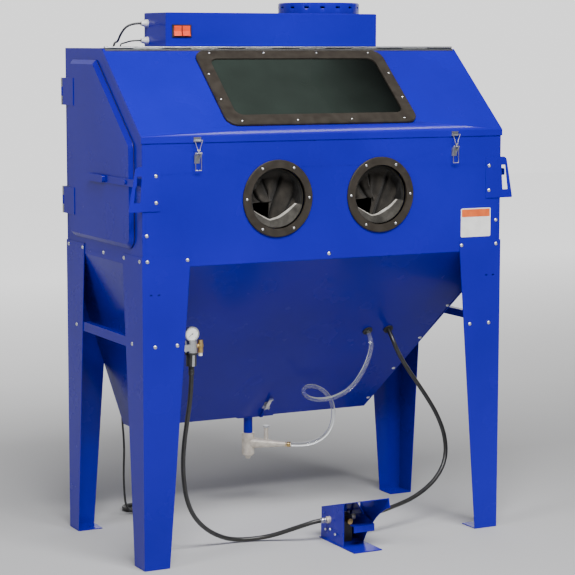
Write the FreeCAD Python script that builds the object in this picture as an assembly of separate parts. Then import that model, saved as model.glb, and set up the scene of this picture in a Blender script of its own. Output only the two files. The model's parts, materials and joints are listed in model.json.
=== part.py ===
import FreeCAD, Part
import math
import os

# Pressure-fed sandblast cabinet on four sheet-metal legs.
# Millimetres, +Z up, the front faces -Y.  The origin is on the floor, at the centre of the four feet.

V = FreeCAD.Vector
os.makedirs("parts", exist_ok=True)

# ---- driving dimensions -------------------------------------------------------------------------
cabinet_width = 1219.0
cabinet_depth = 610.0
hopper_top_z = 895.0        # joint between the cabinet body and the hopper
fold_z = 1276.0             # front edge of the sloped lid
roof_z = 1525.0
slope_run = 294.0           # front wall to the lid's hinge line
sheet = 1.6                 # cabinet and hopper sheet
leg_sheet = 2.5
running = 0.05              # radial clearance of a pin in its bore
gap = 0.5                   # clearance between parts that move past each other

# hopper
hopper_bottom_z = 318.0
hopper_front_run = 540.0    # how far the sloped front panel reaches back
hopper_bottom_half = 426.0
hopper_flange = 35.0        # upright flange inside the cabinet walls
seam_flange = 26.0

# legs
leg_top_z = 927.0
leg_top_width = 150.0
leg_foot_width = 79.0
foot_depth = 74.0
foot_hole_r = 6.0
foot_hole_inset_x = 45.0
foot_hole_inset_y = 40.0
brace_z = 666.0
brace_height = 29.0
brace_sheet = 3.0
grate_bars = 26
grate_bar = 5.0
grate_height = 14.0
grate_rail = 18.0

# glove ports
port_pitch = 350.0
port_z = 1083.5
port_hole_r = 92.0
ring_beyond_hole = 23.0     # the ring's rim, outside the port's hole
ring_inside_hole = 1.5      # its bore, inside the hole
ring_thick = 7.0
ring_screw_beyond = 11.5    # circle of its screws, outside the hole
ring_screws = 6
glove_wall = 3.0
glove_reach = 235.0

# lid and window
lip_height = 21.5
lip_gap = 1.0
lid_return = 15.0
lid_side_gap = 2.0
window_width = 650.0
window_height = 333.0
window_start = 33.0         # from the fold, up the slope
window_frame = 40.0
bezel_thick = 10.0
glass_thick = 5.0
glass_overlap = 14.0
window_corner = 26.0
barrel_r = 3.2
barrel_pin_r = 1.3
piano_leaf = 10.0
piano_leaf_thick = 1.2
piano_knuckles = 13

# side doors: distances from the front wall and heights
door_front = 57.0
door_back = 568.0
door_bottom_z = 945.0
door_top_z = 1490.0
door_below_slope = 57.0
door_corner = 38.0
door_depth = 10.0
door_bevel = 13.0
door_overlap = 20.0
seal_thick = 3.0
seal_width = 14.0
door_pin_r = 2.5
door_barrel_r = 5.5
door_axis_out = 12.0
door_axis_in = 6.0          # in front of the rear wall
door_hinge_z = (1054.0, 1391.0)
door_hinge_height = 84.0
handle_z = 1140.0
handle_height = 22.0
handle_thick = 3.0
handle_pivot = 85.0         # from the front wall
handle_back = 372.0
handle_nose = 2.5           # the nose ends this far behind the front wall
keeper_sheet = 2.5

# draw latches of the lid
latch_x = 437.5
latch_pivot_z = 1224.0
latch_pivot_out = 12.0
latch_wire_r = 1.5
bail_top_z = 1262.0

# light box on the roof
light_half = 370.0
light_front = 375.0
light_back = 544.0
light_height = 109.0
tube_r = 13.0
switch_x = -317.0
switch_z = 1577.0
gland_back = 518.0          # from the front wall
gland_zs = (1601.0, 1548.0)
rocker_tilt = 5.0

# dust collector on the back wall
drum_x = 360.0
drum_behind = 145.0         # its axis, behind the rear wall
drum_r = 134.0
drum_wall = 1.5
drum_bottom_z = 1190.0
drum_top_z = 1650.0
head_height = 25.0
duct_r = 50.0
duct_wall = 1.5
duct_into_drum = 24.0
duct_z = 1262.0

# hoses and leads
hose_r = 7.0
lead_r = 3.5
motor_lead_r = 2.5

# ---- derived sizes ------------------------------------------------------------------------------
xw = cabinet_width / 2
yf = -cabinet_depth / 2
yr = cabinet_depth / 2
slope_angle = math.atan2(roof_z - fold_z, slope_run)
slope_len = math.hypot(roof_z - fold_z, slope_run)
hinge_y = yf + slope_run
hinge_z = roof_z + 2.5
lip_out = lip_gap + sheet
lid_half = xw + lid_side_gap + sheet
lid_top_s = slope_len - barrel_r - 0.8
hopper_back_y = yf + hopper_front_run
door_in = seal_thick + 0.3          # back edge of the door pan, from the side wall
door_out = door_in + door_depth
handle_in = door_out + 1.5
door_axis_y = yr - door_axis_in
light_top_z = roof_z + light_height
gland_y = yf + gland_back
drum_y = yr + drum_behind
ring_outer_r = port_hole_r + ring_beyond_hole
ring_inner_r = port_hole_r - ring_inside_hole
ring_screw_pcr = port_hole_r + ring_screw_beyond


# ---- helpers ------------------------------------------------------------------------------------
def box(x0, x1, y0, y1, z0, z1):
    return Part.makeBox(x1 - x0, y1 - y0, z1 - z0, V(x0, y0, z0))


def cyl(start, end, radius):
    axis = V(*end) - V(*start)
    return Part.makeCylinder(radius, axis.Length, V(*start), axis)


def cone(start, end, r0, r1):
    axis = V(*end) - V(*start)
    return Part.makeCone(r0, r1, axis.Length, V(*start), axis)


def fuse(shapes):
    shapes = list(shapes)
    body = shapes[0]
    if len(shapes) > 1:
        body = body.multiFuse(shapes[1:])
    return body.removeSplitter()


def cut(shape, tools):
    tools = list(tools)
    return shape.cut(Part.makeCompound(tools)) if tools else shape


def mirrored(shape):
    return shape.mirror(V(0, 0, 0), V(1, 0, 0))


def prism(points, along):
    face = Part.Face(Part.makePolygon([V(*p) for p in points] + [V(*points[0])]))
    return face.extrude(V(*along))


def yz_prism(points, x0, x1):
    return prism([(x0, y, z) for y, z in points], (x1 - x0, 0, 0))


def xz_prism(points, y0, y1):
    return prism([(x, y0, z) for x, z in points], (0, y1 - y0, 0))


def save(name, *solids):
    shape = solids[0] if len(solids) == 1 else Part.makeCompound(list(solids))
    shape.exportStep("parts/" + name + ".step")


def inset(points, distance):
    """Move every side of a convex outline inwards by a distance."""
    area = sum(a[0] * b[1] - b[0] * a[1] for a, b in zip(points, points[1:] + points[:1]))
    side = 1 if area > 0 else -1
    lines = []
    for (ax, ay), (bx, by) in zip(points, points[1:] + points[:1]):
        length = math.hypot(bx - ax, by - ay)
        dx, dy = (bx - ax) / length, (by - ay) / length
        lines.append((ax - dy * side * distance, ay + dx * side * distance, dx, dy))
    moved = []
    for (ax, ay, adx, ady), (bx, by, bdx, bdy) in zip(lines[-1:] + lines[:-1], lines):
        t = ((bx - ax) * bdy - (by - ay) * bdx) / (adx * bdy - ady * bdx)
        moved.append((ax + adx * t, ay + ady * t))
    return moved


def rounded_wire(points, radii, place):
    """A closed outline with rounded corners; place turns a flat point into a point in space."""
    edges = []
    stops = []
    count = len(points)
    for i in range(count):
        before = V(*points[i - 1], 0)
        corner = V(*points[i], 0)
        after = V(*points[(i + 1) % count], 0)
        to_before = (before - corner).normalize()
        to_after = (after - corner).normalize()
        half = to_before.getAngle(to_after) / 2
        reach = radii[i] / math.tan(half)
        middle = (to_before + to_after).normalize() * (radii[i] / math.sin(half) - radii[i])
        stops.append([place(*(corner + step)[:2]) for step in (to_before * reach, middle, to_after * reach)])
    for i in range(count):
        edges.append(Part.Arc(*stops[i]).toShape())
        edges.append(Part.LineSegment(stops[i][2], stops[(i + 1) % count][0]).toShape())
    return Part.Wire(edges)


def rounded_prism(points, radii, place, along):
    return Part.Face(rounded_wire(points, radii, place)).extrude(V(*along))


def on_slope(s, h=0.0):
    """A point on the lid: s up the slope from the fold, h above the lid's outer face."""
    y = yf + s * math.cos(slope_angle) - h * math.sin(slope_angle)
    z = fold_z + s * math.sin(slope_angle) + h * math.cos(slope_angle)
    return y, z


slope_normal = (0.0, -math.sin(slope_angle), math.cos(slope_angle))


def scaled(direction, amount):
    return tuple(c * amount for c in direction)


def slope_block(x0, x1, s0, s1, h0, h1):
    corners = [on_slope(s0, h0), on_slope(s1, h0), on_slope(s1, h1), on_slope(s0, h1)]
    return yz_prism(corners, x0, x1)


def fastener(point, out, stack, head_r=6.2, head_h=3.8, shank_r=3.0, nut_h=4.5):
    """A domed bolt with its shank through the stack and its nut behind it."""
    out = V(*out).normalize()
    seat = V(*point)
    dome_r = (head_r ** 2 + head_h ** 2) / (2 * head_h)
    ball = Part.makeSphere(dome_r, seat + out * (head_h - dome_r))
    head = ball.common(Part.makeCylinder(head_r, head_h + 1, seat, out))
    shank = Part.makeCylinder(shank_r, stack + nut_h + 1.5, seat, out * -1)
    nut = Part.makeCylinder(head_r * 0.9, nut_h, seat - out * stack, out * -1)
    return head.multiFuse([shank, nut]).removeSplitter()


def fastener_hole(point, out, stack, shank_r=3.0):
    out = V(*out).normalize()
    return Part.makeCylinder(shank_r + 0.3, stack + 2.0, V(*point) + out, out * -1)


def cord_tube(points, radius):
    """Straight runs joined by tangent arcs, each as large as its two runs allow."""
    pts = [V(*p) for p in points]
    edges = []
    start = pts[0]
    for i in range(1, len(pts) - 1):
        back = pts[i - 1] - pts[i]
        ahead = pts[i + 1] - pts[i]
        shorter = min(back.Length, ahead.Length)
        back.normalize()
        ahead.normalize()
        turn = math.pi - back.getAngle(ahead)
        reach = 0.45 * shorter
        bend = reach / math.tan(turn / 2)
        begin = pts[i] + back * reach
        end = pts[i] + ahead * reach
        toward = (back + ahead).normalize()
        middle = pts[i] + toward * (bend / math.cos(turn / 2) - bend)
        edges.append(Part.LineSegment(start, begin).toShape())
        edges.append(Part.Arc(begin, middle, end).toShape())
        start = end
    edges.append(Part.LineSegment(start, pts[-1]).toShape())
    path = Part.Wire(edges)
    section = Part.Wire(Part.makeCircle(radius, pts[0], pts[1] - pts[0]))
    return path.makePipeShell([section], True, False)


# ---- fasteners of the frame ---------------------------------------------------------------------
front_stack = leg_sheet + 2 * sheet
hopper_edge = (xw - hopper_bottom_half) / (hopper_top_z - hopper_bottom_z)
hopper_pitch = hopper_front_run / (hopper_top_z - hopper_bottom_z)
hopper_out = V(0, -1, -hopper_pitch).normalize()


def on_hopper_front(x, z, out=0.0):
    y = yf + (hopper_top_z - z) * hopper_pitch
    return V(x, y, z) + hopper_out * out


def seam_x(z):
    return xw - (hopper_top_z - z) * hopper_edge - 13.0


frame_points = []
for sx in (-1, 1):
    for inset_x in (14.0, 141.0):
        frame_points.append(((sx * (xw - inset_x), yf - leg_sheet, 914.0), (0, -1, 0), front_stack))
        frame_points.append(((sx * (xw - inset_x), yr + leg_sheet, 914.0), (0, 1, 0), front_stack))
    for inset_x in (37.0, 107.0):
        frame_points.append(((sx * (xw - inset_x), yf - leg_sheet, 664.0), (0, -1, 0), leg_sheet))
    frame_points.append(((sx * (xw - 14.0), yf, 989.0), (0, -1, 0), sheet))
    for inset_y in (18.0, 137.0):
        for y in (yf + inset_y, yr - inset_y):
            frame_points.append(((sx * (xw + leg_sheet), y, 914.0), (sx, 0, 0), front_stack))
    frame_points.append(((sx * xw, 0.0, 914.0), (sx, 0, 0), 2 * sheet))
    for y in (yf + 79.0, yr - 79.0):
        frame_points.append(((sx * (xw + leg_sheet), y, brace_z), (sx, 0, 0), leg_sheet + brace_sheet))
    for z in (699.0, 581.0, 466.0, 352.0):
        frame_points.append((tuple(on_hopper_front(sx * seam_x(z), z)), tuple(hopper_out), 2 * sheet))
    for z in (1161.0, 1084.0):
        frame_points.append(((sx * (xw - 43.0), yf - keeper_sheet, z), (0, -1, 0), keeper_sheet + sheet))
frame_points.append(((0.0, yf, 911.0), (0, -1, 0), 2 * sheet))
frame_points.append(((0.0, yr, 911.0), (0, 1, 0), 2 * sheet))

ring_points = []
for sx in (-1, 1):
    for i in range(ring_screws):
        turn = 2 * math.pi * i / ring_screws
        spot = (sx * port_pitch / 2 + ring_screw_pcr * math.cos(turn), yf - ring_thick,
                port_z + ring_screw_pcr * math.sin(turn))
        ring_points.append((spot, (0, -1, 0), ring_thick + sheet))

frame_holes = [fastener_hole(*f) for f in frame_points]
ring_holes = [fastener_hole(*f, shank_r=2.0) for f in ring_points]


def near(shape, holes):
    """Only the holes whose boxes meet the shape."""
    return [h for h in holes if h.BoundBox.intersect(shape.BoundBox)]


def drilled(shape):
    return cut(shape, near(shape, frame_holes + ring_holes))


# ---- cabinet body -------------------------------------------------------------------------------
def front_panel():
    top = fold_z - 5.0
    wall = box(-xw, xw, yf, yf + sheet, hopper_top_z, top)
    flange = box(-xw + 5, xw - 5, yf, yf + 20, top - sheet, top)
    ports = [cyl((sx * port_pitch / 2, yf - 5, port_z), (sx * port_pitch / 2, yf + 5, port_z), port_hole_r)
             for sx in (-1, 1)]
    return drilled(cut(fuse([wall, flange]), ports))


def rear_panel():
    wall = box(-xw, xw, yr - sheet, yr, hopper_top_z, roof_z - sheet)
    duct = cyl((drum_x, yr - 5, duct_z), (drum_x, yr + 5, duct_z), duct_r - 1.5)
    return drilled(cut(wall, [duct]))


door_outline = [
    (yf + door_front, door_bottom_z),
    (yf + door_back, door_bottom_z),
    (yf + door_back, door_top_z - 30.0),
    (yf + door_back - 30.0, door_top_z),
]
slope_drop = door_below_slope / math.cos(slope_angle)
slope_top = yf + (door_top_z + slope_drop - fold_z) / math.tan(slope_angle)
slope_foot = fold_z - slope_drop + door_front * math.tan(slope_angle)
door_outline += [(slope_top, door_top_z), (yf + door_front, slope_foot)]
door_radii = [door_corner, door_corner, 12.0, 12.0, 25.0, 30.0]


def door_wire(distance, x):
    points = inset(door_outline, distance)
    radii = [max(r - distance, 4.0) for r in door_radii]
    return rounded_wire(points, radii, lambda y, z: V(x, y, z))


def door_slab(distance, x0, x1):
    return Part.Face(door_wire(distance, x0)).extrude(V(x1 - x0, 0, 0))


def side_panel():
    top_s = slope_len - 6.0
    outline = [(yf + sheet, hopper_top_z), (yr - sheet, hopper_top_z), (yr - sheet, roof_z - sheet),
               (hinge_y + 6.0, roof_z - sheet), on_slope(top_s, -5.0), (yf + sheet, fold_z - 6.5)]
    wall = yz_prism(outline, -xw, -xw + sheet)
    return drilled(cut(wall, [door_slab(door_overlap, -xw - 5, -xw + 5)]))


def roof_panel():
    plate = box(-xw, xw, hinge_y + barrel_r + 0.8, yr, roof_z - sheet, roof_z)
    lamp = box(-310, 310, yf + light_front + 30, yf + light_back - 30, roof_z - 5, roof_z + 5)
    return cut(plate, [lamp])


def door_seal():
    x0 = -xw - seal_thick
    return door_slab(2.0, x0, -xw).cut(door_slab(2.0 + seal_width, x0 - 1, -xw + 1))


# ---- hopper -------------------------------------------------------------------------------------
def hopper_side():
    corners = [(-xw, yf, hopper_top_z), (-hopper_bottom_half, hopper_back_y, hopper_bottom_z),
               (-hopper_bottom_half, yr, hopper_bottom_z), (-xw, yr, hopper_top_z)]
    inward = V(1, 0, hopper_edge).normalize() * sheet
    plate = prism(corners, tuple(inward))
    top = box(-xw + sheet, -xw + 2 * sheet, yf + 2 * sheet, yr - 2 * sheet, hopper_top_z - 1.0,
              hopper_top_z + hopper_flange)
    depth = hopper_out * -sheet
    start = V(-xw, yf, hopper_top_z) + depth
    end = V(-hopper_bottom_half, hopper_back_y, hopper_bottom_z) + depth
    along = V(seam_flange, 0, 0)
    strip = prism([tuple(start + V(1, 0, 0)), tuple(end + V(1, 0, 0)), tuple(end + along),
                   tuple(start + along)], tuple(depth))
    body = fuse([plate, top, strip])
    inside = box(-xw, 0, yf, yr, 0, 2000).cut(box(-xw, -xw + sheet, yf, yr, hopper_top_z, 2000))
    inside = inside.cut(box(-xw, 0, yf, yf + 2 * sheet, hopper_top_z, 2000))
    return drilled(body.common(inside))


def hopper_front(sides):
    corners = [(-xw, yf, hopper_top_z), (xw, yf, hopper_top_z),
               (hopper_bottom_half, hopper_back_y, hopper_bottom_z),
               (-hopper_bottom_half, hopper_back_y, hopper_bottom_z)]
    plate = prism(corners, tuple(hopper_out * -sheet))
    flange = box(-xw + 2 * sheet, xw - 2 * sheet, yf + sheet, yf + 2 * sheet, hopper_top_z - 0.5,
                 hopper_top_z + hopper_flange)
    body = fuse([plate, flange]).cut(box(-xw, xw, yf - 1, yf + sheet, hopper_top_z, 2000))
    for sx in (-1, 1):
        edge = sx * (xw - sheet)
        body = body.cut(box(edge - sheet, edge + sheet, yf - 1, yr, hopper_top_z, 2000))
    for spot in hose_exits:
        ahead, behind = V(*spot) + hopper_out * 5, V(*spot) - hopper_out * 5
        body = body.cut(cyl(tuple(ahead), tuple(behind), grommet_neck_r))
    return drilled(body.cut(Part.makeCompound(sides)))


outlet_x = 2.0
outlet_y = hopper_back_y + 29.0
outlet_r = 15.0
clean_x0 = 24.0
clean_x1 = 82.0
clean_y0 = hopper_back_y + 4.0
clean_y1 = yr - 9.0


def hopper_rear(sides):
    wall = prism([(-xw, yr, hopper_top_z), (xw, yr, hopper_top_z), (hopper_bottom_half, yr, hopper_bottom_z),
                  (-hopper_bottom_half, yr, hopper_bottom_z)], (0, -sheet, 0))
    flange = box(-xw + 2 * sheet, xw - 2 * sheet, yr - 2 * sheet, yr - sheet, hopper_top_z - 3,
                 hopper_top_z + hopper_flange)
    floor = box(-hopper_bottom_half + 2.5, hopper_bottom_half - 2.5, hopper_back_y + 2.6, yr,
                hopper_bottom_z, hopper_bottom_z + sheet)
    hole = cyl((outlet_x, outlet_y, 0), (outlet_x, outlet_y, 500), outlet_r - 2)
    hatch = box(clean_x0 + 8, clean_x1 - 8, clean_y0 + 6, clean_y1 - 10, 0, 500)
    body = fuse([wall, flange, floor]).cut(Part.makeCompound([hole, hatch] + sides))
    return drilled(body)


# ---- legs ---------------------------------------------------------------------------------------
def leg():
    """Front left leg: two tapered flanges and a foot."""
    x0, y0 = -xw - leg_sheet, yf - leg_sheet
    front = xz_prism([(x0, 0), (x0, leg_top_z), (-xw + leg_top_width, leg_top_z), (-xw + leg_foot_width, 0)],
                     y0, yf)
    side = yz_prism([(y0, 0), (y0, leg_top_z), (yf + leg_top_width, leg_top_z), (yf + foot_depth, 0)],
                    x0, -xw)
    foot = box(x0, -xw + leg_foot_width, y0, yf + foot_depth, 0, leg_sheet)
    hole = cyl((-xw + foot_hole_inset_x, yf + foot_hole_inset_y, -1),
               (-xw + foot_hole_inset_x, yf + foot_hole_inset_y, 10), foot_hole_r)
    slots = [box(-xw + x, -xw + x + 8, y0 - 1, yf + 1, 814, 818) for x in (20.0, 45.0)]
    return fuse([front, side, foot]).cut(Part.makeCompound([hole] + slots))


def to_rear(shape):
    return shape.mirror(V(0, 0, 0), V(0, 1, 0))


def brace():
    z0, z1 = brace_z - brace_height / 2, brace_z + brace_height / 2
    bar = box(-xw, -xw + brace_sheet, yf + 45, yr - 45, z0, z1)
    shelf = box(-xw, -xw + 22, yf + 140, yr - 140, z1 - brace_sheet, z1)
    return drilled(fuse([bar, shelf]))


# ---- work grate ---------------------------------------------------------------------------------
def work_grate():
    """Flat bars on edge between two cross rails and two side rails, lying on the hopper's flange."""
    z0 = hopper_top_z + hopper_flange
    z1 = z0 + grate_height
    half_x, half_y = xw - sheet - 1.0, yr - sheet - 1.0
    rails = [box(-half_x, half_x, min(y, y - sy * grate_rail), max(y, y - sy * grate_rail), z0, z1)
             for sy, y in ((-1, -half_y), (1, half_y))]
    inner_y = half_y - grate_rail
    rails += [box(min(x, x - sx * grate_rail), max(x, x - sx * grate_rail), -inner_y, inner_y, z0, z1)
              for sx, x in ((-1, -half_x), (1, half_x))]
    pitch = 2 * (half_x - grate_rail) / (grate_bars + 1)
    bars = []
    for i in range(1, grate_bars + 1):
        x = -half_x + grate_rail + i * pitch
        bars.append(box(x - grate_bar / 2, x + grate_bar / 2, -inner_y, inner_y, z0, z1))
    return rails + bars


# ---- glove ports --------------------------------------------------------------------------------
def glove_ring(sx):
    x = sx * port_pitch / 2
    outer = cyl((x, yf - ring_thick, port_z), (x, yf, port_z), ring_outer_r)
    edge = [e for e in outer.Edges if abs(e.BoundBox.YMax - (yf - ring_thick)) < 1e-3 and e.Length > 100]
    outer = outer.makeChamfer(2.0, edge)
    ring = outer.cut(cyl((x, yf - 20, port_z), (x, yf + 1, port_z), ring_inner_r))
    return drilled(ring)


def glove(sx):
    """A soft sleeve, open at the port and closed at its hand end."""
    x = sx * port_pitch / 2
    y0 = yf + 0.5
    r0, r1, r2 = ring_inner_r - 2.5, 62.0, 50.0
    bend, end = y0 + 0.62 * glove_reach, y0 + glove_reach
    profile = [(0, end), (r2, end - 14), (r1, bend), (r0, y0), (r0 - glove_wall, y0),
               (r1 - glove_wall, bend - glove_wall), (r2 - glove_wall, end - 14 - glove_wall),
               (0, end - glove_wall)]
    points = [V(r, y, 0) for r, y in profile]
    face = Part.Face(Part.makePolygon(points + [points[0]]))
    bag = face.revolve(V(0, 0, 0), V(0, 1, 0), 360)
    bag.translate(V(x, 0, port_z))
    return bag


# ---- lid ----------------------------------------------------------------------------------------
def window_outline(shrink):
    half = window_width / 2 - shrink
    s0, s1 = window_start + shrink, window_start + window_height - shrink
    return [(-half, s0), (half, s0), (half, s1), (-half, s1)]


def window_slab(shrink, radius, h0, h1):
    def place(x, s):
        y, z = on_slope(s, h0)
        return V(x, y, z)
    return rounded_prism(window_outline(shrink), [radius] * 4, place, scaled(slope_normal, h1 - h0))


screw_inset = 14.0
window_screws = []
for i in range(4):
    x = (-0.5 + i / 3) * (window_width - 2 * screw_inset - 70)
    for s in (window_start + screw_inset, window_start + window_height - screw_inset):
        window_screws.append((x, s))
for sx in (-1, 1):
    for part_s in (0.33, 0.67):
        window_screws.append((sx * (window_width / 2 - screw_inset), window_start + part_s * window_height))
lid_points = [((x,) + on_slope(s, bezel_thick), slope_normal, bezel_thick + sheet) for x, s in window_screws]
lid_holes = [fastener_hole(*p, shank_r=1.8) for p in lid_points]


def lid_panel():
    tan, cos = math.tan(slope_angle), math.cos(slope_angle)
    out_y, in_y = yf - lip_out, yf - lip_gap
    lip_z = fold_z - lip_height
    section = [(out_y, lip_z), (out_y, fold_z - lip_out * tan), on_slope(lid_top_s),
               on_slope(lid_top_s, -sheet),
               (in_y, fold_z - lip_gap * tan - sheet / cos), (in_y, lip_z)]
    skin = yz_prism(section, -lid_half, lid_half)
    cheek = [(out_y, lip_z), (out_y, fold_z - lip_out * tan), on_slope(lid_top_s),
             on_slope(lid_top_s, -lid_return), on_slope(lip_height * 0.7, -lid_return)]
    cheeks = [yz_prism(cheek, -lid_half, -lid_half + sheet), yz_prism(cheek, lid_half - sheet, lid_half)]
    opening = window_slab(window_frame + 6, window_corner - 6, -30, 30)
    return cut(fuse([skin] + cheeks).cut(opening), lid_holes)


def window_bezel():
    slab = window_slab(0, window_corner + 12, 0, bezel_thick)
    rim = [e for e in slab.Edges
           if all(abs((v.Point - V(0, *on_slope(0, bezel_thick))).dot(V(*slope_normal))) < 1e-3
                  for v in e.Vertexes)]
    slab = slab.makeChamfer(3.0, rim)
    sight = window_slab(window_frame, window_corner, -5, bezel_thick + 5)
    pocket = window_slab(window_frame - glass_overlap, window_corner - 8, -5, glass_thick)
    return cut(slab.cut(sight).cut(pocket), lid_holes)


def window_glass():
    return window_slab(window_frame - glass_overlap + 0.3, window_corner - 8, 0, glass_thick)


def piano_hinge():
    """Returns the roof half, with the pin, and the lid half."""
    y, z = hinge_y, hinge_z
    step = 2 * (xw - 4) / piano_knuckles
    fixed, moving = [], []
    fixed.append(box(-xw + 4, xw - 4, y + barrel_r + 1.0, y + barrel_r + 1.0 + piano_leaf, roof_z,
                     roof_z + piano_leaf_thick))
    top_s = slope_len - barrel_r - 1.0
    moving.append(slope_block(-xw + 4, xw - 4, top_s - piano_leaf, top_s, 0, piano_leaf_thick))
    bore = cyl((-xw, y, z), (xw, y, z), barrel_pin_r + running)
    for i in range(piano_knuckles):
        x0 = -xw + 4 + i * step + gap / 2
        x1 = x0 + step - gap
        barrel = cyl((x0, y, z), (x1, y, z), barrel_r)
        if i % 2 == 0:
            fixed += [barrel, box(x0, x1, y + 1.5, y + barrel_r + 2.0, roof_z, roof_z + piano_leaf_thick)]
        else:
            tab = slope_block(x0, x1, top_s - 1.0, slope_len - 1.5, 0, piano_leaf_thick)
            moving += [barrel, tab]
    pin = cyl((-xw + 4, y, z), (xw - 4, y, z), barrel_pin_r)
    return fuse(fixed + [pin]), fuse(moving).cut(bore)


def lid_catch(sx):
    y = yf - lip_out
    return box(sx * latch_x - 12, sx * latch_x + 12, y - 2.5, y, fold_z - lip_height + 2, fold_z - 5)


# ---- draw latches -------------------------------------------------------------------------------
latch_y = yf - latch_pivot_out
crank_y = latch_y - 2.5
crank_z = latch_pivot_z + 9.0
crank_r = 1.2
bail_y = crank_y


def latch_base():
    """Plate and two ears on the front wall, at x = 0."""
    plate = box(-9, 9, yf - 1.5, yf, latch_pivot_z - 30, latch_pivot_z - 4)
    ears = [yz_prism([(yf - 1.5, latch_pivot_z - 22), (yf - 1.5, latch_pivot_z - 4),
                      (yf - 4, latch_pivot_z + 4),
                      (latch_y - 3.6, latch_pivot_z + 4), (latch_y - 3.6, latch_pivot_z - 5)], x, x + 1.2)
            for x in (-7.2, 6.0)]
    rivets = [cyl((0, yf - 2.7, latch_pivot_z + dz), (0, yf - 1.5, latch_pivot_z + dz), 2.4)
              for dz in (-25, -10)]
    bore = cyl((-20, latch_y, latch_pivot_z), (20, latch_y, latch_pivot_z), latch_wire_r + running)
    return fuse([plate] + ears + rivets).cut(bore)


def latch_lever():
    y, z = latch_y, latch_pivot_z
    low = z - 50.0
    pin = cyl((-10.5, y, z), (10.5, y, z), latch_wire_r)
    knobs = [cyl((sx * 7.6, y, z), (sx * 11.0, y, z), 2.9) for sx in (-1, 1)]
    legs = [cyl((sx * 9.3, y, z), (sx * 9.3, y, low), latch_wire_r) for sx in (-1, 1)]
    bar = cyl((-9.3, y, low), (9.3, y, low), latch_wire_r)
    corners = [Part.makeSphere(latch_wire_r, V(sx * 9.3, y, low)) for sx in (-1, 1)]
    hub = box(-2.2, 2.2, y - 2.2, y + 2.2, z - 2.2, z + 2.2)
    arm = prism([(-2.2, y - 2.2, z), (-2.2, y + 2.2, z), (-2.2, crank_y + 2.0, crank_z),
                 (-2.2, crank_y - 2.0, crank_z)], (4.4, 0, 0))
    crank = cyl((-5.4, crank_y, crank_z), (5.4, crank_y, crank_z), crank_r)
    return fuse([pin, hub, arm, crank, bar] + knobs + legs + corners)


def latch_bail():
    top, wide = bail_top_z, 12.5
    eyes = [cyl((sx * 2.7, bail_y, crank_z), (sx * 5.0, bail_y, crank_z), 2.7) for sx in (-1, 1)]
    wires = [cyl((sx * 3.85, bail_y, crank_z + 2.0), (sx * wide, bail_y, top), 1.25) for sx in (-1, 1)]
    bar = cyl((-wide, bail_y, top), (wide, bail_y, top), 1.25)
    ends = [Part.makeSphere(1.25, V(sx * wide, bail_y, top)) for sx in (-1, 1)]
    bore = cyl((-9, bail_y, crank_z), (9, bail_y, crank_z), crank_r + running)
    return fuse(eyes + wires + [bar] + ends).cut(bore)


def at_x(shape, x):
    moved = shape.copy()
    moved.translate(V(x, 0, 0))
    return moved


# ---- side doors ---------------------------------------------------------------------------------
def door_pan():
    """A shallow pan with a bevelled edge, its back open to the seal."""
    back, face = -xw - door_in, -xw - door_out
    outer = Part.makeLoft([door_wire(0, back), door_wire(door_bevel, face)], True, True)
    inner = Part.makeLoft([door_wire(2 * sheet, back + 0.01), door_wire(door_bevel + sheet, face + sheet)],
                          True, True)
    pan = outer.cut(inner)
    pivot_y = yf + handle_pivot
    boss = cyl((face, pivot_y, handle_z), (-xw - handle_in, pivot_y, handle_z), 9.0)
    pin = cyl((face, pivot_y, handle_z), (-xw - handle_in - handle_thick - 1.0, pivot_y, handle_z), 4.0)
    head = cyl((-xw - handle_in - handle_thick - 0.5, pivot_y, handle_z),
               (-xw - handle_in - handle_thick - 4.0, pivot_y, handle_z), 7.0)
    return fuse([pan, boss, pin, head])


def door_handle():
    x1 = -xw - handle_in - 0.3
    x0 = x1 - handle_thick + 0.3
    y0, y1 = yf + handle_nose, yf + handle_back
    half = handle_height / 2
    outline = [(y0, handle_z - half), (y1, handle_z - half), (y1, handle_z + half), (y0, handle_z + half)]
    bar = rounded_prism(outline, [6.0, 10.0, 10.0, 6.0], lambda y, z: V(x0, y, z), (x1 - x0, 0, 0))
    grip_y0 = y1 - 130.0
    grip = rounded_prism([(grip_y0, handle_z - half), (y1, handle_z - half), (y1, handle_z + half),
                          (grip_y0, handle_z + half)], [8.0] * 4, lambda y, z: V(x0 - 9.0, y, z), (9.0, 0, 0))
    pivot_y = yf + handle_pivot
    bore = cyl((x0 - 2, pivot_y, handle_z), (x1 + 2, pivot_y, handle_z), 4.0 + running)
    return fuse([bar, grip]).cut(bore)


def door_hinge_z_parts(z_mid):
    """z ranges of the lower fixed, moving and upper fixed knuckles."""
    half = door_hinge_height / 2
    third = door_hinge_height / 3
    lower = (z_mid - half, z_mid - half + third - 0.3)
    middle = (z_mid - half + third, z_mid + half - third)
    upper = (z_mid + half - third + 0.3, z_mid + half)
    return lower, middle, upper


def door_hinge_fixed():
    x, y = -xw - door_axis_out, door_axis_y
    solids = []
    for z_mid in door_hinge_z:
        lower, middle, upper = door_hinge_z_parts(z_mid)
        pieces = [box(-xw - 2.5, -xw, yf + door_back + 8, yr - 0.5, lower[0], upper[1])]
        for z0, z1 in (lower, upper):
            pieces.append(cyl((x, y, z0), (x, y, z1), door_barrel_r))
            pieces.append(box(x, -xw - 1.0, y - 3.0, y + 3.0, z0, z1))
        pieces.append(cyl((x, y, lower[0]), (x, y, upper[1]), door_pin_r))
        solids.append(fuse(pieces))
    return solids


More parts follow.
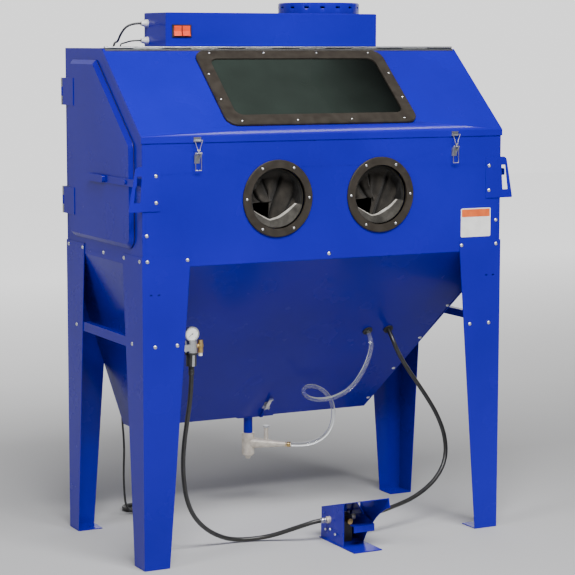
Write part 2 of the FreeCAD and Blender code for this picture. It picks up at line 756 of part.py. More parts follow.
def door_hinge_leaf():
    x, y = -xw - door_axis_out, door_axis_y
    face = -xw - door_out
    solids = []
    for z_mid in door_hinge_z:
        lower, middle, upper = door_hinge_z_parts(z_mid)
        leaf = box(face - 2.0, face, yf + door_back - 60, y - door_barrel_r - 1.2, lower[0], upper[1])
        tab = box(face - 2.0, face, y - door_barrel_r - 2.0, y, middle[0], middle[1])
        barrel = cyl((x, y, middle[0]), (x, y, middle[1]), door_barrel_r)
        bore = cyl((x, y, lower[0]), (x, y, upper[1]), door_pin_r + running)
        solids.append(fuse([leaf, tab, barrel]).cut(bore))
    return solids


def door_keeper():
    top_z, low_z = 1188.0, 1059.0
    plate = rounded_prism([(-xw + 55, low_z), (-xw + 55, top_z), (-xw - 20, top_z), (-xw - 44, low_z)],
                          [2.0, 2.0, 14.0, 3.0], lambda x, z: V(x, yf - keeper_sheet, z),
                          (0, keeper_sheet, 0))
    slot = xz_prism([(-xw - 2, 1162), (-xw - 17, 1162), (-xw - 27, 1085), (-xw - 7, 1085)], yf - 10, yf + 5)
    return drilled(plate.cut(slot))


# ---- light box ----------------------------------------------------------------------------------
light_y0 = yf + light_front
light_y1 = yf + light_back
switch_width = 66.0
switch_height = 40.0
rocker_width = 25.0
rocker_height = 31.0
rocker_barrel_r = 4.6
rocker_x = (switch_x - 14.5, switch_x + 14.5)


def light_box():
    shell = box(-light_half, light_half, light_y0, light_y1, roof_z, light_top_z)
    shell = shell.makeChamfer(2.0, [e for e in shell.Edges if abs(e.BoundBox.ZMin - light_top_z) < 1e-3
                                    and abs(e.BoundBox.ZMax - light_top_z) < 1e-3])
    inner = box(-light_half + sheet, light_half - sheet, light_y0 + sheet, light_y1 - sheet, roof_z - 1,
                light_top_z - 2 * sheet)
    window = box(switch_x - switch_width / 2 + 3, switch_x + switch_width / 2 - 3, light_y0 - 5,
                 light_y0 + 5, switch_z - switch_height / 2 + 3, switch_z + switch_height / 2 - 3)
    holes = [cyl((-light_half - 5, gland_y, z), (-light_half + 5, gland_y, z), 7.0) for z in gland_zs]
    return shell.cut(Part.makeCompound([inner, window] + holes))


def lamp():
    y, z = (light_y0 + light_y1) / 2, roof_z + 55.0
    tube = cyl((-290, y, z), (290, y, z), tube_r)
    sockets = [box(min(sx * 290, sx * 335), max(sx * 290, sx * 335), y - 17, y + 17, z - 17, z + 17)
               for sx in (-1, 1)]
    posts = [box(min(sx * 315, sx * 335), max(sx * 315, sx * 335), y - 17, y + 17, roof_z, z)
             for sx in (-1, 1)]
    return fuse([tube] + sockets + posts)


def switch_bezel():
    x0, x1 = switch_x - switch_width / 2, switch_x + switch_width / 2
    z0, z1 = switch_z - switch_height / 2, switch_z + switch_height / 2
    plate = box(x0, x1, light_y0 - 3.0, light_y0, z0, z1)
    edge = [e for e in plate.Edges if abs(e.BoundBox.YMax - (light_y0 - 3.0)) < 1e-3]
    plate = plate.makeChamfer(1.2, edge)
    half_w, half_h = rocker_width / 2 + gap, rocker_height / 2 + 1.2
    windows = [box(x - half_w, x + half_w, light_y0 - 9, light_y0 + 9, switch_z - half_h, switch_z + half_h)
               for x in rocker_x]
    return plate.cut(Part.makeCompound(windows))


def rocker(x):
    """A two-faced rocker on a pivot along X, tilted to its off position."""
    y, half = light_y0 + 4.0, rocker_height / 2
    outline = [(y - 10.5, switch_z - half), (y - 7.5, switch_z), (y - 10.5, switch_z + half),
               (y + 4.0, switch_z + half - 2.5), (y + 4.0, switch_z - half + 2.5)]
    body = yz_prism(outline, x - rocker_width / 2, x + rocker_width / 2)
    barrel = cyl((x - rocker_width / 2, y, switch_z), (x + rocker_width / 2, y, switch_z), rocker_barrel_r)
    body = fuse([body, barrel])
    body.rotate(V(x, y, switch_z), V(1, 0, 0), -rocker_tilt)
    return body


def gland(z):
    x = -light_half
    nut = cyl((x - 7, gland_y, z), (x, gland_y, z), 12.0)
    dome = cone((x - 22, gland_y, z), (x - 7, gland_y, z), 7.0, 11.0)
    neck = cyl((x, gland_y, z), (x + 8, gland_y, z), 7.0)
    inner = cyl((x + sheet, gland_y, z), (x + sheet + 5, gland_y, z), 11.0)
    return fuse([nut, dome, neck, inner])


# ---- dust collector -----------------------------------------------------------------------------
def collector_drum():
    """The drum with its bands and brackets."""
    outer = cyl((drum_x, drum_y, drum_bottom_z), (drum_x, drum_y, drum_top_z), drum_r)
    inner = cyl((drum_x, drum_y, drum_bottom_z + drum_wall), (drum_x, drum_y, drum_top_z + 1),
                drum_r - drum_wall)
    inlet = cyl((drum_x, yr, duct_z), (drum_x, drum_y, duct_z), duct_r + running)
    arms = [box(drum_x + sx * 70 - 12, drum_x + sx * 70 + 12, yr, drum_y - 90, z, z + 3)
            for sx in (-1, 1) for z in (1440.0,)]
    plates = [box(drum_x + sx * 70 - 12, drum_x + sx * 70 + 12, yr, yr + 3, 1440, 1480) for sx in (-1, 1)]
    bands = [cyl((drum_x, drum_y, z), (drum_x, drum_y, z + 6), drum_r + 2) for z in (1330.0, 1560.0)]
    return fuse([outer] + arms + plates + bands).cut(inner).cut(inlet)


def collector_duct():
    """The flanged pipe from the rear wall into the drum."""
    end_y = drum_y - drum_r + duct_into_drum
    pipe = cyl((drum_x, yr, duct_z), (drum_x, end_y, duct_z), duct_r)
    flange = cyl((drum_x, yr, duct_z), (drum_x, yr + 3, duct_z), duct_r + 18)
    bore = cyl((drum_x, yr - 2, duct_z), (drum_x, end_y + 1, duct_z), duct_r - duct_wall)
    return fuse([pipe, flange]).cut(bore)


def collector_head():
    rim_r = drum_r + 3.5
    shell = cyl((drum_x, drum_y, drum_top_z - 14), (drum_x, drum_y, drum_top_z + head_height), rim_r)
    top_edge = [e for e in shell.Edges if abs(e.BoundBox.ZMin - (drum_top_z + head_height)) < 1e-3]
    shell = shell.makeChamfer(4.0, top_edge)
    hollow = cyl((drum_x, drum_y, drum_top_z), (drum_x, drum_y, drum_top_z + head_height - 3), drum_r - 6)
    skirt = cyl((drum_x, drum_y, drum_top_z - 20), (drum_x, drum_y, drum_top_z), drum_r)
    vents = []
    for i in range(16):
        turn = 2 * math.pi * i / 16
        slot = box(drum_r - 12, drum_r + 10, -8, 8, drum_top_z + 6, drum_top_z + 12)
        slot.rotate(V(0, 0, 0), V(0, 0, 1), math.degrees(turn))
        slot.translate(V(drum_x, drum_y, 0))
        vents.append(slot)
    return shell.cut(Part.makeCompound([hollow, skirt] + vents))


motor_r = 52.0
motor_low = drum_top_z - 42.0
fan_low = motor_low - 26.0
filter_top = fan_low - 8.0


def collector_motor():
    can = cyl((drum_x, drum_y, motor_low), (drum_x, drum_y, drum_top_z + head_height - 3), motor_r)
    bore = cyl((drum_x, drum_y, motor_low - 1), (drum_x, drum_y, motor_low + 35), 5 + running)
    ribs = [box(drum_x - 3, drum_x + 3, drum_y - motor_r - 6, drum_y + motor_r + 6, motor_low + 6,
                drum_top_z + head_height - 3)]
    cross = ribs[0].copy()
    cross.rotate(V(drum_x, drum_y, 0), V(0, 0, 1), 90)
    return fuse([can, ribs[0], cross]).cut(bore)


def collector_fan():
    shaft = cyl((drum_x, drum_y, fan_low), (drum_x, drum_y, motor_low + 34), 5.0)
    disc = cyl((drum_x, drum_y, motor_low - 5), (drum_x, drum_y, motor_low - 2), 95.0)
    hub = cyl((drum_x, drum_y, fan_low + 2), (drum_x, drum_y, motor_low - 2), 14.0)
    blades = []
    for i in range(8):
        blade = box(20, 92, -1.5, 1.5, fan_low + 3, motor_low - 4)
        blade.rotate(V(20, 0, 0), V(0, 0, 1), -25)
        blade.rotate(V(0, 0, 0), V(0, 0, 1), i * 45)
        blade.translate(V(drum_x, drum_y, 0))
        blades.append(blade)
    return fuse([shaft, disc, hub] + blades)


def collector_filter():
    plate = cyl((drum_x, drum_y, filter_top - 3), (drum_x, drum_y, filter_top), drum_r - drum_wall)
    mouth = cyl((drum_x, drum_y, filter_top - 10), (drum_x, drum_y, filter_top + 5), 55.0)
    sleeve = cyl((drum_x, drum_y, duct_z + 75), (drum_x, drum_y, filter_top - 3), 85.0)
    core = cyl((drum_x, drum_y, duct_z + 80), (drum_x, drum_y, filter_top + 5), 55.0)
    return fuse([plate, sleeve]).cut(mouth).cut(core)


# ---- air and media parts ------------------------------------------------------------------------
grommet_neck_r = 13.0
hose_exits = (tuple(on_hopper_front(276.0, 624.0)), tuple(on_hopper_front(352.0, 625.0)))


def grommet(spot):
    base = V(*spot)
    outer = Part.makeCylinder(16.5, 4.0, base, hopper_out)
    neck = Part.makeCylinder(grommet_neck_r, sheet, base, hopper_out * -1)
    inner = Part.makeCylinder(16.5, 4.0, base - hopper_out * sheet, hopper_out * -1)
    bore = Part.makeCylinder(hose_r, 40, base + hopper_out * 20, hopper_out * -1)
    return fuse([outer, neck, inner]).cut(bore)


regulator = V(-446.0, -278.0, 654.0)
knob_stem_r = 4.0


def regulator_body():
    x, y, z = regulator
    core = cyl((x, y, z - 18), (x, y, z + 18), 18.0)
    bonnet = cyl((x, y, z + 18), (x, y, z + 30), 10.0)
    collar = cyl((x, y, z - 24), (x, y, z - 18), 19.5)
    bowl = cyl((x, y, z - 58), (x, y, z - 24), 15.5)
    fitting = cyl((x, y, z - 68), (x, y, z - 58), 8.5)
    leg_edge = -xw + leg_foot_width + (leg_top_width - leg_foot_width) * z / leg_top_z
    clip = box(leg_edge - 15, leg_edge - 4, yf, yf + 3, z - 20, z + 20)
    arm = box(leg_edge - 14, x, yf + 3, yf + 6, z - 10, z + 10)
    stay = box(leg_edge - 14, leg_edge - 4, yf, yf + 6, z - 10, z + 10)
    reach = box(x - 12, x, yf + 3, y, z - 10, z + 10)
    nipple = cyl((x, y, z), (x + 28, y, z), 6.0)
    inlet = cyl((x - 30, y, z), (x, y, z), 6.5)
    knob_seat = cyl((x, y + 15, z), (x, y + 20, z), 9.0)
    spindle_bore = cyl((x, y + 7, z), (x, y + 25, z), knob_stem_r + running)
    body = fuse([core, bonnet, collar, bowl, fitting, clip, arm, stay, reach, nipple, inlet, knob_seat])
    return body.cut(spindle_bore)


def pressure_gauge():
    x, y, z = regulator
    case = cyl((x - 6, yf + 4, z + 40), (x - 6, yf + 16.5, z + 40), 22.0)
    recess = cyl((x - 6, yf + 3, z + 40), (x - 6, yf + 6.5, z + 40), 19.0)
    stem = cyl((x, y, z + 30), (x, y, z + 34), 6.0)
    back = box(x - 12, x + 6, yf + 12, y + 6, z + 34, z + 46)
    return fuse([case, stem, back]).cut(recess)


def shutoff_valve():
    x, y, z = regulator
    vx = x + 30.0
    barrel = cyl((vx, y, z - 20), (vx, y, z + 18), 8.0)
    band = cyl((vx, y, z - 4), (vx, y, z + 5), 9.2)
    barb = cyl((vx, y, z - 30), (vx, y, z - 20), 6.0)
    return fuse([barrel, band, barb]).cut(cyl((x, y, z), (x + 28, y, z), 6.0))


def regulator_knob():
    x, y, z = regulator
    body = cyl((x, y + 20.4, z), (x, y + 44, z), 13.0)
    stem = cyl((x, y + 8, z), (x, y + 21, z), knob_stem_r)
    flutes = []
    for i in range(12):
        turn = 2 * math.pi * i / 12
        flutes.append(cyl((x + 13.6 * math.cos(turn), y + 24, z + 13.6 * math.sin(turn)),
                          (x + 13.6 * math.cos(turn), y + 50, z + 13.6 * math.sin(turn)), 1.6))
    return fuse([body.cut(Part.makeCompound(flutes)), stem])


valve_top_z = 259.0
arm_z = 225.0
arm_turn = math.radians(-40.0)
arm_dir = (math.cos(arm_turn), math.sin(arm_turn), 0.0)
arm_length = 128.0
arm_tip = tuple(V(outlet_x, outlet_y, arm_z) + V(*arm_dir) * (arm_length + 20.0))


def along_arm(distance, z=arm_z):
    return outlet_x + arm_dir[0] * distance, outlet_y + arm_dir[1] * distance, z


def pickup_pipe():
    pipe = cyl((outlet_x, outlet_y, valve_top_z - 12), (outlet_x, outlet_y, hopper_bottom_z), outlet_r)
    bore = cyl((outlet_x, outlet_y, valve_top_z - 20), (outlet_x, outlet_y, hopper_bottom_z + 5),
               outlet_r - 2)
    flange = box(outlet_x - 50, clean_x0 - gap, clean_y0 - 2, clean_y1 - 4, hopper_bottom_z - 4,
                 hopper_bottom_z)
    return fuse([pipe, flange]).cut(bore)


def media_valve():
    x, y = outlet_x, outlet_y
    body = cyl((x, y, valve_top_z - 72), (x, y, valve_top_z), 21.0)
    base = cone((x, y, valve_top_z - 78), (x, y, valve_top_z - 72), 15.0, 21.0)
    plug = cyl((x, y, valve_top_z - 87), (x, y, valve_top_z - 78), 8.5)
    arm = cone(along_arm(0), along_arm(arm_length), 20.0, 8.0)
    barb = cyl(along_arm(arm_length), tuple(arm_tip), 5.0)
    nut = cyl(along_arm(arm_length), along_arm(arm_length + 7), 8.5)
    stub = cyl(along_arm(62), along_arm(62, arm_z + 52), 7.5)
    socket = cyl((x, y, valve_top_z - 12), (x, y, valve_top_z + 5), outlet_r)
    hollow = cyl((x, y, valve_top_z - 60), (x, y, valve_top_z + 5), outlet_r - 2)
    thread = cyl(along_arm(62, arm_z + 24), along_arm(62, arm_z + 60), 4.0 + running)
    return fuse([body, base, plug, arm, barb, nut, stub]).cut(Part.makeCompound([socket, hollow, thread]))


def metering_screw():
    stem = cyl(along_arm(62, arm_z + 28), along_arm(62, arm_z + 60), 4.0)
    disc = cyl(along_arm(62, arm_z + 56), along_arm(62, arm_z + 60), 11.0)
    return fuse([stem, disc])


clean_hinge_y = yr - 4.0
clean_hinge_z = hopper_bottom_z - 5.0


def clean_door():
    z1 = hopper_bottom_z - 0.4
    flap = box(clean_x0, clean_x1, clean_y0 - 2, clean_hinge_y - 5, z1 - 3.5, z1)
    tab = box(clean_x0 + 15, clean_x1 - 15, clean_hinge_y - 6, clean_hinge_y, z1 - 3.5, z1 - 1.5)
    barrel = cyl((clean_x0 + 15, clean_hinge_y, clean_hinge_z),
                 (clean_x1 - 15, clean_hinge_y, clean_hinge_z), 3.0)
    bore = cyl((0, clean_hinge_y, clean_hinge_z), (200, clean_hinge_y, clean_hinge_z), 1.5 + running)
    relief = box(clean_x0 - 5, clean_x1 + 5, clean_hinge_y - 9, clean_hinge_y + 9, z1 - 1.5, z1 + 5)
    x = clean_latch_x
    hasp_foot = box(x - 5, x + 5, clean_y0 - 8, clean_y0 + 1, z1 - 5, z1 - 3.2)
    hasp = hopper_block(x - 5, x + 5, -54, -8, 3, 5)
    return fuse([flap.cut(relief), tab, barrel, hasp_foot, hasp]).cut(bore)


def clean_hinge():
    lugs = []
    for x in (clean_x0 + 5, clean_x1 - 14.4):
        lugs.append(box(x, x + 9.4, clean_hinge_y - 3, clean_hinge_y + 3, clean_hinge_z - 3, hopper_bottom_z))
    pin = cyl((clean_x0 + 5, clean_hinge_y, clean_hinge_z), (clean_x1 - 5, clean_hinge_y, clean_hinge_z), 1.5)
    return fuse(lugs + [pin])


clean_latch_x = 36.0
clean_latch_z = hopper_bottom_z + 38.0


def hopper_frame(x, up, out):
    """A point by its distance up the hopper front from the latch pivot, and out of its face."""
    up_dir = V(0, -hopper_pitch, 1).normalize()
    return on_hopper_front(x, clean_latch_z) + up_dir * up + hopper_out * out


def hopper_block(x0, x1, up0, up1, out0, out1):
    corners = [hopper_frame(x0, u, o) for u, o in ((up0, out0), (up1, out0), (up1, out1), (up0, out1))]
    return prism([tuple(c) for c in corners], (x1 - x0, 0, 0))


def clean_latch_base():
    x = clean_latch_x
    plate = hopper_block(x - 11, x + 11, -10, 22, 0, 2)
    ears = [hopper_block(x0, x0 + 2, -6, 6, 2, 13) for x0 in (x - 9, x + 7)]
    bore = cyl(tuple(hopper_frame(x - 20, 0, 9)), tuple(hopper_frame(x + 20, 0, 9)), 1.5 + running)
    return fuse([plate] + ears).cut(bore)


def clean_latch_lever():
    x = clean_latch_x
    pin = cyl(tuple(hopper_frame(x - 10, 0, 9)), tuple(hopper_frame(x + 10, 0, 9)), 1.5)
    hub = cyl(tuple(hopper_frame(x - 6, 0, 9)), tuple(hopper_frame(x + 6, 0, 9)), 3.5)
    paddle = hopper_block(x - 5.5, x + 5.5, 0, 52, 8, 10.5)
    tip = hopper_block(x - 5.5, x + 5.5, 46, 52, 8, 15)
    nose = hopper_block(x - 5.5, x + 5.5, -6, 0, 7, 10)
    return fuse([pin, hub, paddle, tip, nose])


def blast_gun():
    z = hopper_top_z + hopper_flange + grate_height + 19.0
    body = cyl((60, 60, z), (190, 60, z), 18.0)
    nose = cone((60, 60, z), (30, 60, z), 18.0, 12.0)
    nozzle = cyl((30, 60, z), (-15, 60, z), 9.0)
    nut = cyl((38, 60, z), (22, 60, z), 14.0)
    grip = cyl((165, 60, z), (190, -45, z), 15.0)
    bore = cyl((-30, 60, z), (120, 60, z), 4.0)
    tail = cyl((190, 60, z), (215, 60, z), 8.0)
    return fuse([body, nose, nozzle, nut, grip, tail]).cut(bore)


# ---- foot pedal ---------------------------------------------------------------------------------
pedal_x0 = 36.0
pedal_x1 = 134.0
pedal_y0 = -406.0
pedal_y1 = -179.0
cheek_back = -185.0
cheek_front = -330.0
cheek_sheet = 2.5
treadle_tilt = math.radians(15.3)
treadle_back_z = 101.0
treadle_back_y = -187.0
pedal_axis_y = -203.0
pedal_axis_z = 84.0
pedal_pin_r = 4.0
guard_back_y = -262.0
valve_y = -240.0
valve_z = 70.0


def treadle_z(y):
    return treadle_back_z + (treadle_back_y - y) * math.tan(treadle_tilt)


def pedal_base():
    plate = box(pedal_x0, pedal_x1, pedal_y0, pedal_y1, 0, 3.0)
    left_x, right_x = pedal_x0 + 4, pedal_x1 - 4 - cheek_sheet
    left = yz_prism([(cheek_back, 0), (cheek_back, treadle_z(cheek_back)),
                     (cheek_front, treadle_z(cheek_front)), (cheek_front, 0)],
                    left_x, left_x + cheek_sheet)
    lip_y = cheek_front - 34.0
    right = yz_prism([(cheek_back, 0), (cheek_back, treadle_z(cheek_back)), (-255, treadle_z(-255)),
                      (-300, 92), (lip_y, 74), (lip_y, 52), (-322, 42), (-294, 0)],
                     right_x, right_x + cheek_sheet)
    shelf = box(pedal_x0 + 22, right_x + cheek_sheet, lip_y, lip_y + 26, 70.5, 73.0)
    lip = box(pedal_x0 + 22, right_x + cheek_sheet, lip_y, lip_y + cheek_sheet, 52, 73)
    back = box(left_x, right_x + cheek_sheet, cheek_back, cheek_back + cheek_sheet, 0, 60)
    bore = cyl((0, pedal_axis_y, pedal_axis_z), (200, pedal_axis_y, pedal_axis_z), pedal_pin_r + running)
    ports = cyl((0, valve_y, valve_z), (200, valve_y, valve_z), 9.0)
    return fuse([plate, left, right, shelf, lip, back]).cut(Part.makeCompound([bore, ports]))


def treadle():
    x0, x1 = pedal_x0 + 4 + cheek_sheet + 1.5, pedal_x1 - 4 - cheek_sheet - 1.5
    thick = 2.5
    front_y = -438.0
    wing_y = cheek_front - 4.0

    def slab(xa, xb, ya, yb):
        return yz_prism([(ya, treadle_z(ya)), (yb, treadle_z(yb)), (yb, treadle_z(yb) - thick),
                         (ya, treadle_z(ya) - thick)], xa, xb)
    rear = slab(x0, x1, treadle_back_y, wing_y - 1.0)
    wing = slab(x0, pedal_x1 + 4, wing_y, front_y)
    ears = [yz_prism([(treadle_back_y - 2, treadle_z(treadle_back_y) - 2), (-232, treadle_z(-232) - 2),
                      (-216, 72), (-196, 72)], x, x + cheek_sheet) for x in (x0, x1 - cheek_sheet)]
    guard_x = pedal_x1 + 1.5
    top_back = V(guard_x, guard_back_y, treadle_z(guard_back_y))
    top_front = V(guard_x, front_y, treadle_z(front_y))
    nose = V(guard_x, front_y - 8, treadle_z(front_y) - 28)
    sag = V(guard_x, (front_y - 8 + wing_y) / 2 + 6, 109)
    foot = V(guard_x, wing_y, 64)
    heel = V(guard_x, guard_back_y, 90)
    outline = [Part.LineSegment(top_back, top_front).toShape(),
               Part.LineSegment(top_front, nose).toShape(),
               Part.Arc(nose, sag, foot).toShape(),
               Part.LineSegment(foot, heel).toShape(),
               Part.LineSegment(heel, top_back).toShape()]
    guard = Part.Face(Part.Wire(outline)).extrude(V(cheek_sheet, 0, 0))
    pin = cyl((pedal_x0 + 1.5, pedal_axis_y, pedal_axis_z), (pedal_x1 - 1.5, pedal_axis_y, pedal_axis_z),
              pedal_pin_r)
    pusher = cyl(((x0 + x1) / 2, valve_y - 20, valve_z + 26), ((x0 + x1) / 2, valve_y - 20,
                 treadle_z(valve_y - 20) - 1), 4.0)
    return fuse([rear, wing, guard, pin, pusher] + ears)


def pedal_valve():
    mid = (pedal_x0 + pedal_x1) / 2
    x0, x1 = pedal_x0 + 4 + cheek_sheet, pedal_x1 - 4 - cheek_sheet
    body = box(mid - 16, mid + 16, valve_y - 34, valve_y + 14, 3.0, valve_z + 16)
    through = cyl((x0 - 16, valve_y, valve_z), (x1 + 16, valve_y, valve_z), 8.5)
    nuts = [cyl((x0 - 12, valve_y, valve_z), (x0 - cheek_sheet, valve_y, valve_z), 11.0),
            cyl((x1 + cheek_sheet, valve_y, valve_z), (x1 + 12, valve_y, valve_z), 11.0)]
    top = cyl((mid, valve_y - 20, valve_z + 10), (mid, valve_y - 20, valve_z + 22), 10.0)
    well = cyl((mid, valve_y - 20, valve_z), (mid, valve_y - 20, valve_z + 40), 7.0)
    muffler = cyl((mid, valve_y - 34, valve_z), (mid, valve_y - 52, valve_z), 9.0)
    return fuse([body, through, top, muffler] + nuts).cut(well)


# ---- cords --------------------------------------------------------------------------------------
supply_hose_points = [
    (-446, -278, 586), (-446, -278, 550), (-449, -275, 492), (-456, -268, 428), (-462, -260, 366),
    (-462, -249, 302), (-452, -233, 238), (-435, -214, 179), (-405, -190, 124), (-362, -163, 78),
    (-312, -141, 42), (-254, -127, 15), (-196, -127, 7.5), (-144, -145, 12), (-102, -172, 26),
    (-66, -203, 45), (-34, -229, 61), (-3, valve_y, valve_z), (26.5, valve_y, valve_z)]
gun_hose_points = [
    hose_exits[1], tuple(on_hopper_front(352.0, 625.0, 36.0)), (363, -92, 560), (391, -99, 508),
    (429, -106, 454), (467, -112, 399), (500, -119, 343), (522, -127, 284), (526, -137, 226),
    (507, -151, 178),
    (465, -168, 139), (409, -187, 111), (345, -206, 92), (280, -222, 82), (222, -234, 74),
    (178, valve_y, valve_z), (143.5, valve_y, valve_z)]
media_hose_points = [
    hose_exits[0], tuple(on_hopper_front(276.0, 624.0, 39.0)), (268, -88, 556), (247, -82, 502),
    (220, -68, 453), (182, -50, 421), (138, -24, 404), (103, 12, 404), (96, 55, 418), (124, 88, 432),
    (171, 98, 427),
    (213, 98, 399), (236, 101, 354), (238, 108, 304), (223, 116, 262), (189, 128, 235),
    along_arm(arm_length + 60.0), arm_tip]
mains_points = [
    (-light_half - 22, gland_y, gland_zs[0]), (-414, gland_y, gland_zs[0]), (-441, 219, 1591),
    (-454, 232, 1566), (-454, 254, 1545), (-449, 280, 1543), (-445, 305, 1540), (-442, 322, 1521),
    (-440, 326, 1484), (-436, 322, 1420), (-437, 325, 1335), (-430, 321, 1240), (-433, 325, 1145),
    (-428, 323, 1045), (-431, 325, 945), (-426, 321, 845), (-429, 326, 745), (-423, 322, 645),
    (-426, 327, 545),
    (-419, 324, 445), (-422, 329, 345), (-414, 327, 245), (-415, 334, 150), (-409, 343, 75),
    (-398, 358, 28), (-372, 372, 7), (-340, 378.5, 3.6)]
coil_centre = (-340.0, 417.0)
coil_mean_r = 38.5
motor_lead_points = [
    (-light_half - 22, gland_y, gland_zs[1]), (-410, gland_y, gland_zs[1]), (-426, 224, 1546),
    (-431, 250, 1541), (-428, 280, 1539), (-424, 303, 1537), (-421, 318, 1519), (-417, 322, 1488),
    (-404, 321, 1452), (-378, 320, 1421), (-334, 318, 1403), (-270, 320, 1394), (-186, 318, 1388),
    (-98, 320, 1390), (-20, 319, 1393), (46, 330, 1400), (94, 362, 1411), (128, 406, 1427),
    (168, drum_y, 1440),
    (drum_x - drum_r - 22, drum_y, 1440)]
collector_gland_x = drum_x - drum_r


def coil():
    x, y = coil_centre
    outer = cyl((x, y, 0), (x, y, 4 * lead_r), coil_mean_r + 2 * lead_r)
    return outer.cut(cyl((x, y, -1), (x, y, 20), coil_mean_r - 2 * lead_r))


def mains_plug():
    """A moulded plug lying on the floor beside the coil."""
    x, y = coil_centre[0] + 78, coil_centre[1]
    body = box(x - 14, x + 14, y - 30, y + 8, 0, 24)
    body = body.makeFillet(4.0, [e for e in body.Edges if e.BoundBox.YLength > 20])
    blades = [box(x + sx * 6.35 - 0.75, x + sx * 6.35 + 0.75, y + 8, y + 24, 11, 17.5) for sx in (-1, 1)]
    earth = cyl((x, y + 8, 6.5), (x, y + 26, 6.5), 2.4)
    relief = cone((x, y - 30, 12), (x, y - 58, 6), 7.0, 4.5)
    return fuse([body, earth, relief] + blades)


def collector_gland():
    tip = motor_lead_points[-1]
    body = cyl(tip, (collector_gland_x + 5.0, drum_y, tip[2]), 8.0)
    return body.cut(cyl((drum_x, drum_y, drum_bottom_z), (drum_x, drum_y, drum_top_z), drum_r))


# ---- write every node ---------------------------------------------------------------------------
left_side = side_panel()
left_hopper = hopper_side()
hopper_sides = [left_hopper, mirrored(left_hopper)]

save("front_panel", front_panel())
save("rear_panel", rear_panel())
save("roof_panel", roof_panel())
save("side_panel_left", left_side)
save("side_panel_right", mirrored(left_side))
save("hopper_sides", *hopper_sides)
save("hopper_front", hopper_front(hopper_sides))
save("hopper_rear", hopper_rear(hopper_sides))

front_leg = leg()
rear_leg = to_rear(front_leg)
save("legs", *[drilled(part) for part in (front_leg, mirrored(front_leg), rear_leg, mirrored(rear_leg))])
save("leg_braces", brace(), mirrored(brace()))
save("work_grate", *work_grate())

frame_bolts = [fastener(*f) for f in frame_points]
ring_bolts = [fastener(*f, head_r=4.2, head_h=2.6, shank_r=2.0, nut_h=3.0) for f in ring_points]
save("frame_bolts", *(frame_bolts + ring_bolts))

save("glove_rings", glove_ring(-1), glove_ring(1))
save("glove_left", glove(-1))
save("glove_right", glove(1))

roof_hinge, lid_hinge = piano_hinge()
door_posts = door_hinge_fixed()
save("fixed_hinge_leaves", roof_hinge, clean_hinge(), *(door_posts + [mirrored(p) for p in door_posts]))
save("lid_panel", lid_panel())
save("window_bezel", window_bezel())
save("window_glass", window_glass())
save("lid_hinge_leaf", lid_hinge)
lid_screws = [fastener(*p, head_r=4.0, head_h=2.4, shank_r=1.8, nut_h=2.5) for p in lid_points]
save("lid_fittings", *(lid_screws + [lid_catch(-1), lid_catch(1)]))

save("latch_bases", at_x(latch_base(), -latch_x), at_x(latch_base(), latch_x), clean_latch_base())
for side, name in ((-1, "left"), (1, "right")):
    save("latch_lever_" + name, at_x(latch_lever(), side * latch_x))
    save("latch_bail_" + name, at_x(latch_bail(), side * latch_x))

pan = door_pan()
handle = door_handle()
leaves = door_hinge_leaf()
save("side_door_left", pan, *leaves)
save("side_door_right", mirrored(pan), *[mirrored(p) for p in leaves])
save("door_handle_left", handle)
save("door_handle_right", mirrored(handle))
save("door_keepers", door_keeper(), mirrored(door_keeper()))
grommets = [grommet(spot) for spot in hose_exits]
save("rubber_trim", door_seal(), mirrored(door_seal()), *grommets)

save("light_box", light_box())
save("lamp", lamp())
save("switch_bezel", switch_bezel())
save("rocker_left", rocker(rocker_x[0]))
save("rocker_right", rocker(rocker_x[1]))
save("cable_glands", gland(gland_zs[0]), gland(gland_zs[1]), collector_gland())

save("collector_drum", collector_drum(), collector_duct())
save("collector_head", collector_head(), collector_motor())
save("collector_fan", collector_fan())
save("collector_filter", collector_filter())

save("regulator_body", regulator_body(), pressure_gauge(), shutoff_valve())
save("regulator_knob", regulator_knob())
save("pickup_pipe", pickup_pipe())
save("media_valve", media_valve())
save("metering_screw", metering_screw())
save("clean_door", clean_door())
save("clean_latch", clean_latch_lever())
save("blast_gun", blast_gun())

save("pedal_base", pedal_base())
save("pedal_valve", pedal_valve())
save("treadle", treadle())

save("supply_hose", cord_tube(supply_hose_points, hose_r))
save("gun_hose", cord_tube(gun_hose_points, hose_r))
save("media_hose", cord_tube(media_hose_points, hose_r))
save("mains_lead", cord_tube(mains_points, lead_r))
save("mains_coil", coil())
save("mains_plug", mains_plug())
save("motor_lead", cord_tube(motor_lead_points, motor_lead_r))
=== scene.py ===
import bmesh
import bpy
import json
import math
from mathutils import Matrix, Vector


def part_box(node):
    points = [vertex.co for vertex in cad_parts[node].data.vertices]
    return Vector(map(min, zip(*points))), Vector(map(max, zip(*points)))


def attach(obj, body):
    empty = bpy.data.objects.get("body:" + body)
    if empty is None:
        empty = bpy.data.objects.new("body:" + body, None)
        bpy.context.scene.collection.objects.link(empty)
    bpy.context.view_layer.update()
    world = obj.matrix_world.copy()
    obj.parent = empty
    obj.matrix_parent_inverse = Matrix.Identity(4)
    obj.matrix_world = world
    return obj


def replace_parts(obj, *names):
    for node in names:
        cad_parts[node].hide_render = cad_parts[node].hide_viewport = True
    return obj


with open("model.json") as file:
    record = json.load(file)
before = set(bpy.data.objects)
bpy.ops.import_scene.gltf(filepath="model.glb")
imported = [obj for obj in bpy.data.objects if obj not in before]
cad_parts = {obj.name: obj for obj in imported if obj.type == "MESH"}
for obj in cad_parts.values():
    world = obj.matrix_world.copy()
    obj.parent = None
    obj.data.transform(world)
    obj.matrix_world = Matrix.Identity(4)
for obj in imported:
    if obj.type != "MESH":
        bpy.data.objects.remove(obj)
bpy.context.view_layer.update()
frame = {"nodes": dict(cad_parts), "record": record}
nodes = frame["nodes"]

